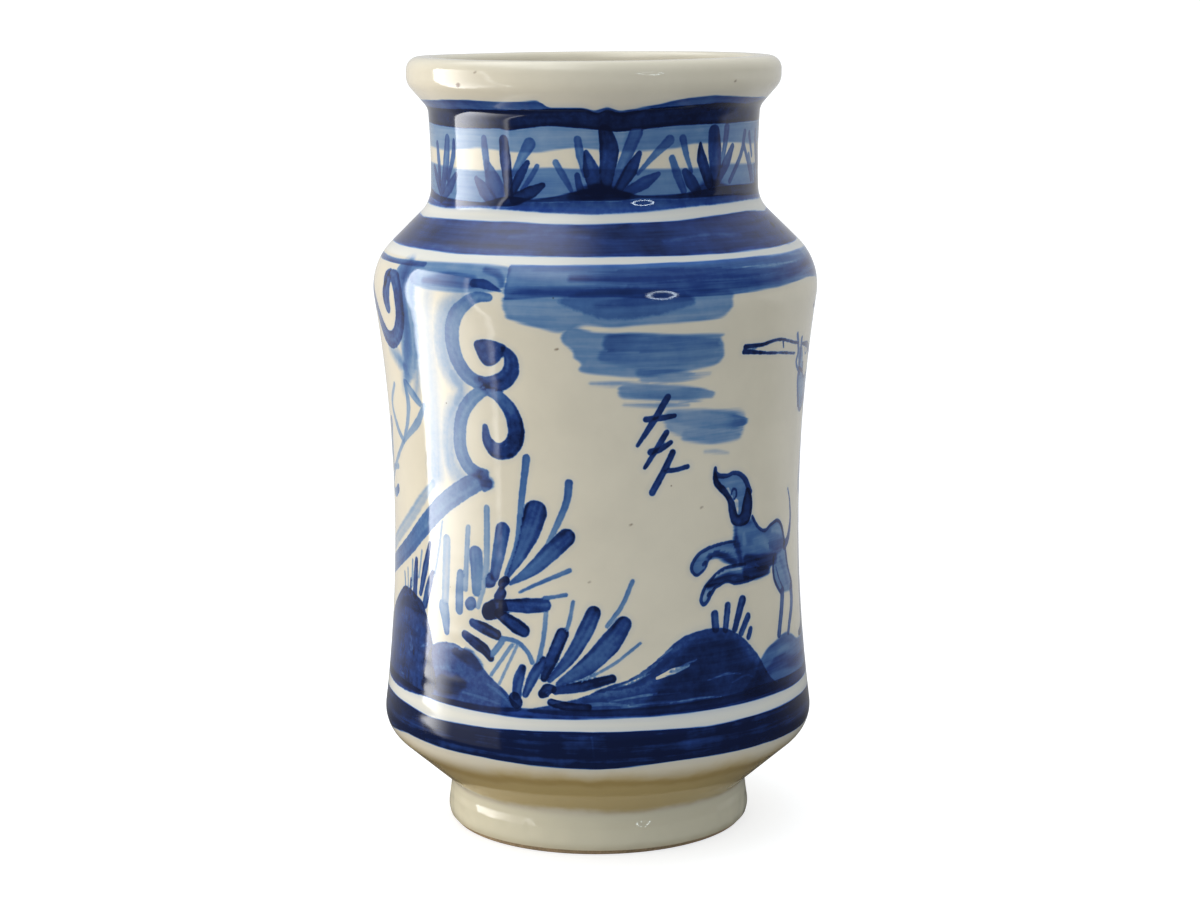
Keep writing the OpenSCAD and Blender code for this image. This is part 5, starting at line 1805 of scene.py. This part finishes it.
class JAR_OT_bare_clay(bpy.types.Operator):
    """Fired clay and slip under the glaze"""

    bl_idname = "jar.bare_clay"
    bl_label = "Bare clay"

    def execute(self, context):
        colours = context.scene.jar_colours
        clay = fired_clay("fired_clay", colours.clay)
        slip = fired_clay("fired_slip", colours.slip)
        pieces = (
            ("foot_ring", clay),
            ("body_wall", clay),
            ("neck_collar", clay),
            ("foot_slip", slip),
            ("neck_slip", slip),
        )
        for node, material in pieces:
            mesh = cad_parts[node].data
            mesh.materials.clear()
            mesh.materials.append(material)
        return {"FINISHED"}


class JAR_OT_stage(bpy.types.Operator):
    """Floor, light and camera"""

    bl_idname = "jar.stage"
    bl_label = "Stage"

    def execute(self, context):
        stage = context.scene.jar_stage
        context.scene.view_settings.view_transform = "Standard"
        self.floor(context, stage)
        self.room(context, stage)
        self.window(context, stage)
        self.ring(context, stage)
        self.camera(context, stage)
        return {"FINISHED"}

    def floor(self, context, stage):
        """A wide level floor, lit as it is and lifted to white where it is seen, or mirrored behind the
        jar."""
        reach = 60.0
        corners = [(-reach, -reach, 0), (reach, -reach, 0), (reach, reach, 0), (-reach, reach, 0)]
        material, tree = lamp_material("pale_floor")
        path = put(tree, "ShaderNodeLightPath").outputs
        seen = calc(tree, "MAXIMUM", path["Is Camera Ray"], path["Is Transmission Ray"])
        back = part_of(tree, put(tree, "ShaderNodeNewGeometry").outputs["Position"], "Y")
        behind = between(tree, back, 0.02, 0.3, FRONT_MIRROR, BACK_MIRROR)
        mirrored = calc(tree, "MULTIPLY", path["Is Glossy Ray"], behind)
        lift = calc(tree, "MULTIPLY_ADD", seen, stage.lift, mirrored)
        plain = calc(tree, "SUBTRACT", 1.0, calc(tree, "MULTIPLY", path["Is Glossy Ray"], FLOOR_UNMIRRORED))
        colour = blended(tree, plain, (0.0, 0.0, 0.0, 1.0), opaque(stage.floor))
        matt = put(tree, "ShaderNodeBsdfDiffuse", {"Color": colour})
        glow = put(tree, "ShaderNodeEmission", {"Strength": lift})
        both = put(tree, "ShaderNodeAddShader", {0: matt.outputs[0], 1: glow.outputs[0]})
        put(tree, "ShaderNodeOutputMaterial", {"Surface": both.outputs[0]})
        self.staged(context, "floor", corners, [(0, 1, 2, 3)], material)

    def staged(self, context, name, corners, faces, material):
        """A sheet of the stage."""
        mesh = bpy.data.meshes.new(name)
        mesh.from_pydata(corners, [], faces)
        mesh.materials.append(material)
        piece = bpy.data.objects.new(name, mesh)
        context.scene.collection.objects.link(piece)
        return piece

    def room(self, context, stage):
        """Soft light from all sides, more from the left and from above, white where it is seen, and
        mirrored brighter from behind the jar and from a skylight at the left."""
        world = bpy.data.worlds.new("room")
        world.use_nodes = True
        tree = world.node_tree
        tree.nodes.clear()
        path = put(tree, "ShaderNodeLightPath").outputs
        seen = calc(tree, "MAXIMUM", path["Is Camera Ray"], path["Is Transmission Ray"])
        way = put(tree, "ShaderNodeSeparateXYZ", {0: put(tree, "ShaderNodeTexCoord").outputs["Generated"]})
        above = between(tree, way.outputs["Z"], 0.25, 1.0)
        behind = between(tree, way.outputs["Y"], -0.1, 0.8, FRONT_MIRROR, BACK_MIRROR)
        behind = calc(tree, "MULTIPLY_ADD", above, TOP_MIRROR, behind)
        left = between(tree, way.outputs["X"], -0.8, -0.4)
        left = calc(tree, "MULTIPLY", left, between(tree, way.outputs["X"], -0.3, 0.1, 1.0, 0.0))
        skylight = calc(tree, "MULTIPLY", left, between(tree, way.outputs["Z"], 0.55, 0.85))
        behind = calc(tree, "MULTIPLY_ADD", skylight, SKYLIGHT, behind)
        mirrored = calc(tree, "MULTIPLY_ADD", path["Is Glossy Ray"], behind, seen)
        plain = calc(tree, "SUBTRACT", 1.0, calc(tree, "MAXIMUM", seen, path["Is Glossy Ray"]))
        light = calc(tree, "MULTIPLY_ADD", above, stage.ceiling, stage.room)
        leftward = between(tree, way.outputs["X"], -1.0, 1.0, 1.3, 0.62, smooth=False)
        light = calc(tree, "MULTIPLY", light, leftward)
        strength = calc(tree, "MULTIPLY_ADD", plain, light, mirrored)
        colour = blended(tree, plain, (1.0, 1.0, 1.0, 1.0), opaque(stage.room_tint))
        sky = put(tree, "ShaderNodeBackground", {"Color": colour, "Strength": strength})
        put(tree, "ShaderNodeOutputWorld", {"Surface": sky.outputs[0]})
        context.scene.world = world

    def window(self, context, stage):
        """A bright pane at the left that leans away from the jar. Mirrored, it is brightest along its far
        upright edge and fades towards the camera, up to the pale frame of its near edge."""
        foot = [(-0.30, 0.055, 0.002), (-0.215, -0.20, 0.002)]
        top = [(-0.263, -0.105, 0.30), (-0.34, 0.12, 0.30)]
        material, tree = lamp_material("window_pane")
        path = put(tree, "ShaderNodeLightPath").outputs
        spot = put(tree, "ShaderNodeSeparateXYZ", {0: put(tree, "ShaderNodeTexCoord").outputs["Generated"]})
        near_top, far_foot = 0.297, 0.797
        near = between(tree, spot.outputs["Z"], 0.0, 1.0, 0.0, near_top, smooth=False)
        far = between(tree, spot.outputs["Z"], 0.0, 1.0, far_foot, 1.0, smooth=False)
        across = between(tree, spot.outputs["Y"], near, far, smooth=False)
        start = between(tree, spot.outputs["Z"], 0.04, 0.12, 0.5, 0.0)
        fade = between(tree, across, start, 0.88, 0.06, 1.0)
        edge = between(tree, across, 0.91, 0.96, 0.0, 0.1)
        upper = between(tree, spot.outputs["Z"], 0.08, 0.12)
        frame_edge = calc(tree, "MULTIPLY", between(tree, across, 0.03, 0.08, 0.4, 0.0), upper)
        lit = calc(tree, "ADD", calc(tree, "ADD", fade, edge), frame_edge)
        mirrored = calc(tree, "MULTIPLY", lit, stage.window_mirror)
        strength = blended_value(tree, path["Is Glossy Ray"], stage.window, mirrored)
        facing = calc(tree, "SUBTRACT", 1.0, put(tree, "ShaderNodeNewGeometry").outputs["Backfacing"])
        strength = calc(tree, "MULTIPLY", strength, facing)
        colour = blended(tree, path["Is Glossy Ray"], opaque(stage.window_tint), (1.0, 1.0, 1.0, 1.0))
        glow = put(tree, "ShaderNodeEmission", {"Color": colour, "Strength": strength})
        put(tree, "ShaderNodeOutputMaterial", {"Surface": glow.outputs[0]})
        self.staged(context, "window_pane", foot + top, [(0, 3, 2, 1)], material).visible_camera = False

    def ring(self, context, stage):
        """A ring lamp at the right above the camera, that shows in the gloss alone."""
        count = 48
        sizes = (0.064, 0.077)
        right, tilt = math.radians(33.0), math.radians(77.0)
        place = Matrix.Rotation(right, 4, "Z") @ Matrix.Translation((0.0, -0.58, 0.292))
        place = place @ Matrix.Rotation(tilt, 4, "X")
        around = [(math.cos(t), math.sin(t)) for t in np.linspace(0.0, 2 * np.pi, count + 1)[:-1]]
        corners = [place @ Vector((size * x, size * y, 0.0)) for size in sizes for x, y in around]
        faces = [(i, (i + 1) % count, count + (i + 1) % count, count + i) for i in range(count)]
        material, tree = lamp_material("ring_lamp")
        path = put(tree, "ShaderNodeLightPath").outputs
        strength = calc(tree, "MULTIPLY", path["Is Glossy Ray"], stage.ring)
        glow = put(tree, "ShaderNodeEmission", {"Color": opaque(stage.ring_tint), "Strength": strength})
        put(tree, "ShaderNodeOutputMaterial", {"Surface": glow.outputs[0]})
        self.staged(context, "ring_lamp", corners, faces, material).visible_camera = False

    def camera(self, context, stage):
        """The camera of the photograph: in front, a little above the rim, looking down."""
        data = bpy.data.cameras.new("camera")
        data.lens = stage.lens
        data.sensor_width = 36.0
        data.shift_x = CAMERA_SHIFT
        data.clip_end = 200.0
        piece = bpy.data.objects.new("camera", data)
        down = Matrix.Rotation(math.radians(90.0) - stage.pitch, 4, "X")
        look = down @ Matrix.Rotation(stage.lean, 4, "Z")
        piece.matrix_world = Matrix.Translation(CAMERA_PLACE) @ look
        context.scene.collection.objects.link(piece)
        context.scene.camera = piece


class JAR_PT_panel(bpy.types.Panel):
    """Lists the jar's coats, its stage and their values"""

    bl_idname = "JAR_PT_panel"
    bl_label = "Painted pharmacy jar"
    bl_space_type = "VIEW_3D"
    bl_region_type = "UI"
    bl_category = "Jar"

    def draw(self, context):
        layout = self.layout
        for operator in OPERATORS:
            layout.operator(operator.bl_idname)
        for group in (context.scene.jar_sizes, context.scene.jar_colours, context.scene.jar_stage):
            box = layout.box()
            for key in type(group).__annotations__:
                box.prop(group, key)


OPERATORS = (
    JAR_OT_stage,
    JAR_OT_bare_clay,
    JAR_OT_foot_coat,
    JAR_OT_wall_coats,
    JAR_OT_shoulder_coat,
    JAR_OT_neck_coat,
    JAR_OT_rim_coat,
    JAR_OT_lining,
)
CLASSES = (JarSizes, JarColours, JarStage, *OPERATORS, JAR_PT_panel)


def register():
    """Makes the classes and the scene's values known."""
    for item in CLASSES:
        bpy.utils.register_class(item)
    bpy.types.Scene.jar_sizes = bpy.props.PointerProperty(type=JarSizes)
    bpy.types.Scene.jar_colours = bpy.props.PointerProperty(type=JarColours)
    bpy.types.Scene.jar_stage = bpy.props.PointerProperty(type=JarStage)


def unregister():
    """Takes them back."""
    del bpy.types.Scene.jar_stage
    del bpy.types.Scene.jar_colours
    del bpy.types.Scene.jar_sizes
    for item in reversed(CLASSES):
        bpy.utils.unregister_class(item)


def main():
    """Builds the jar's looks and its stage."""
    register()
    for operator in OPERATORS:
        group, name = operator.bl_idname.split(".")
        getattr(getattr(bpy.ops, group), name)()


if __name__ == "__main__":
    main()
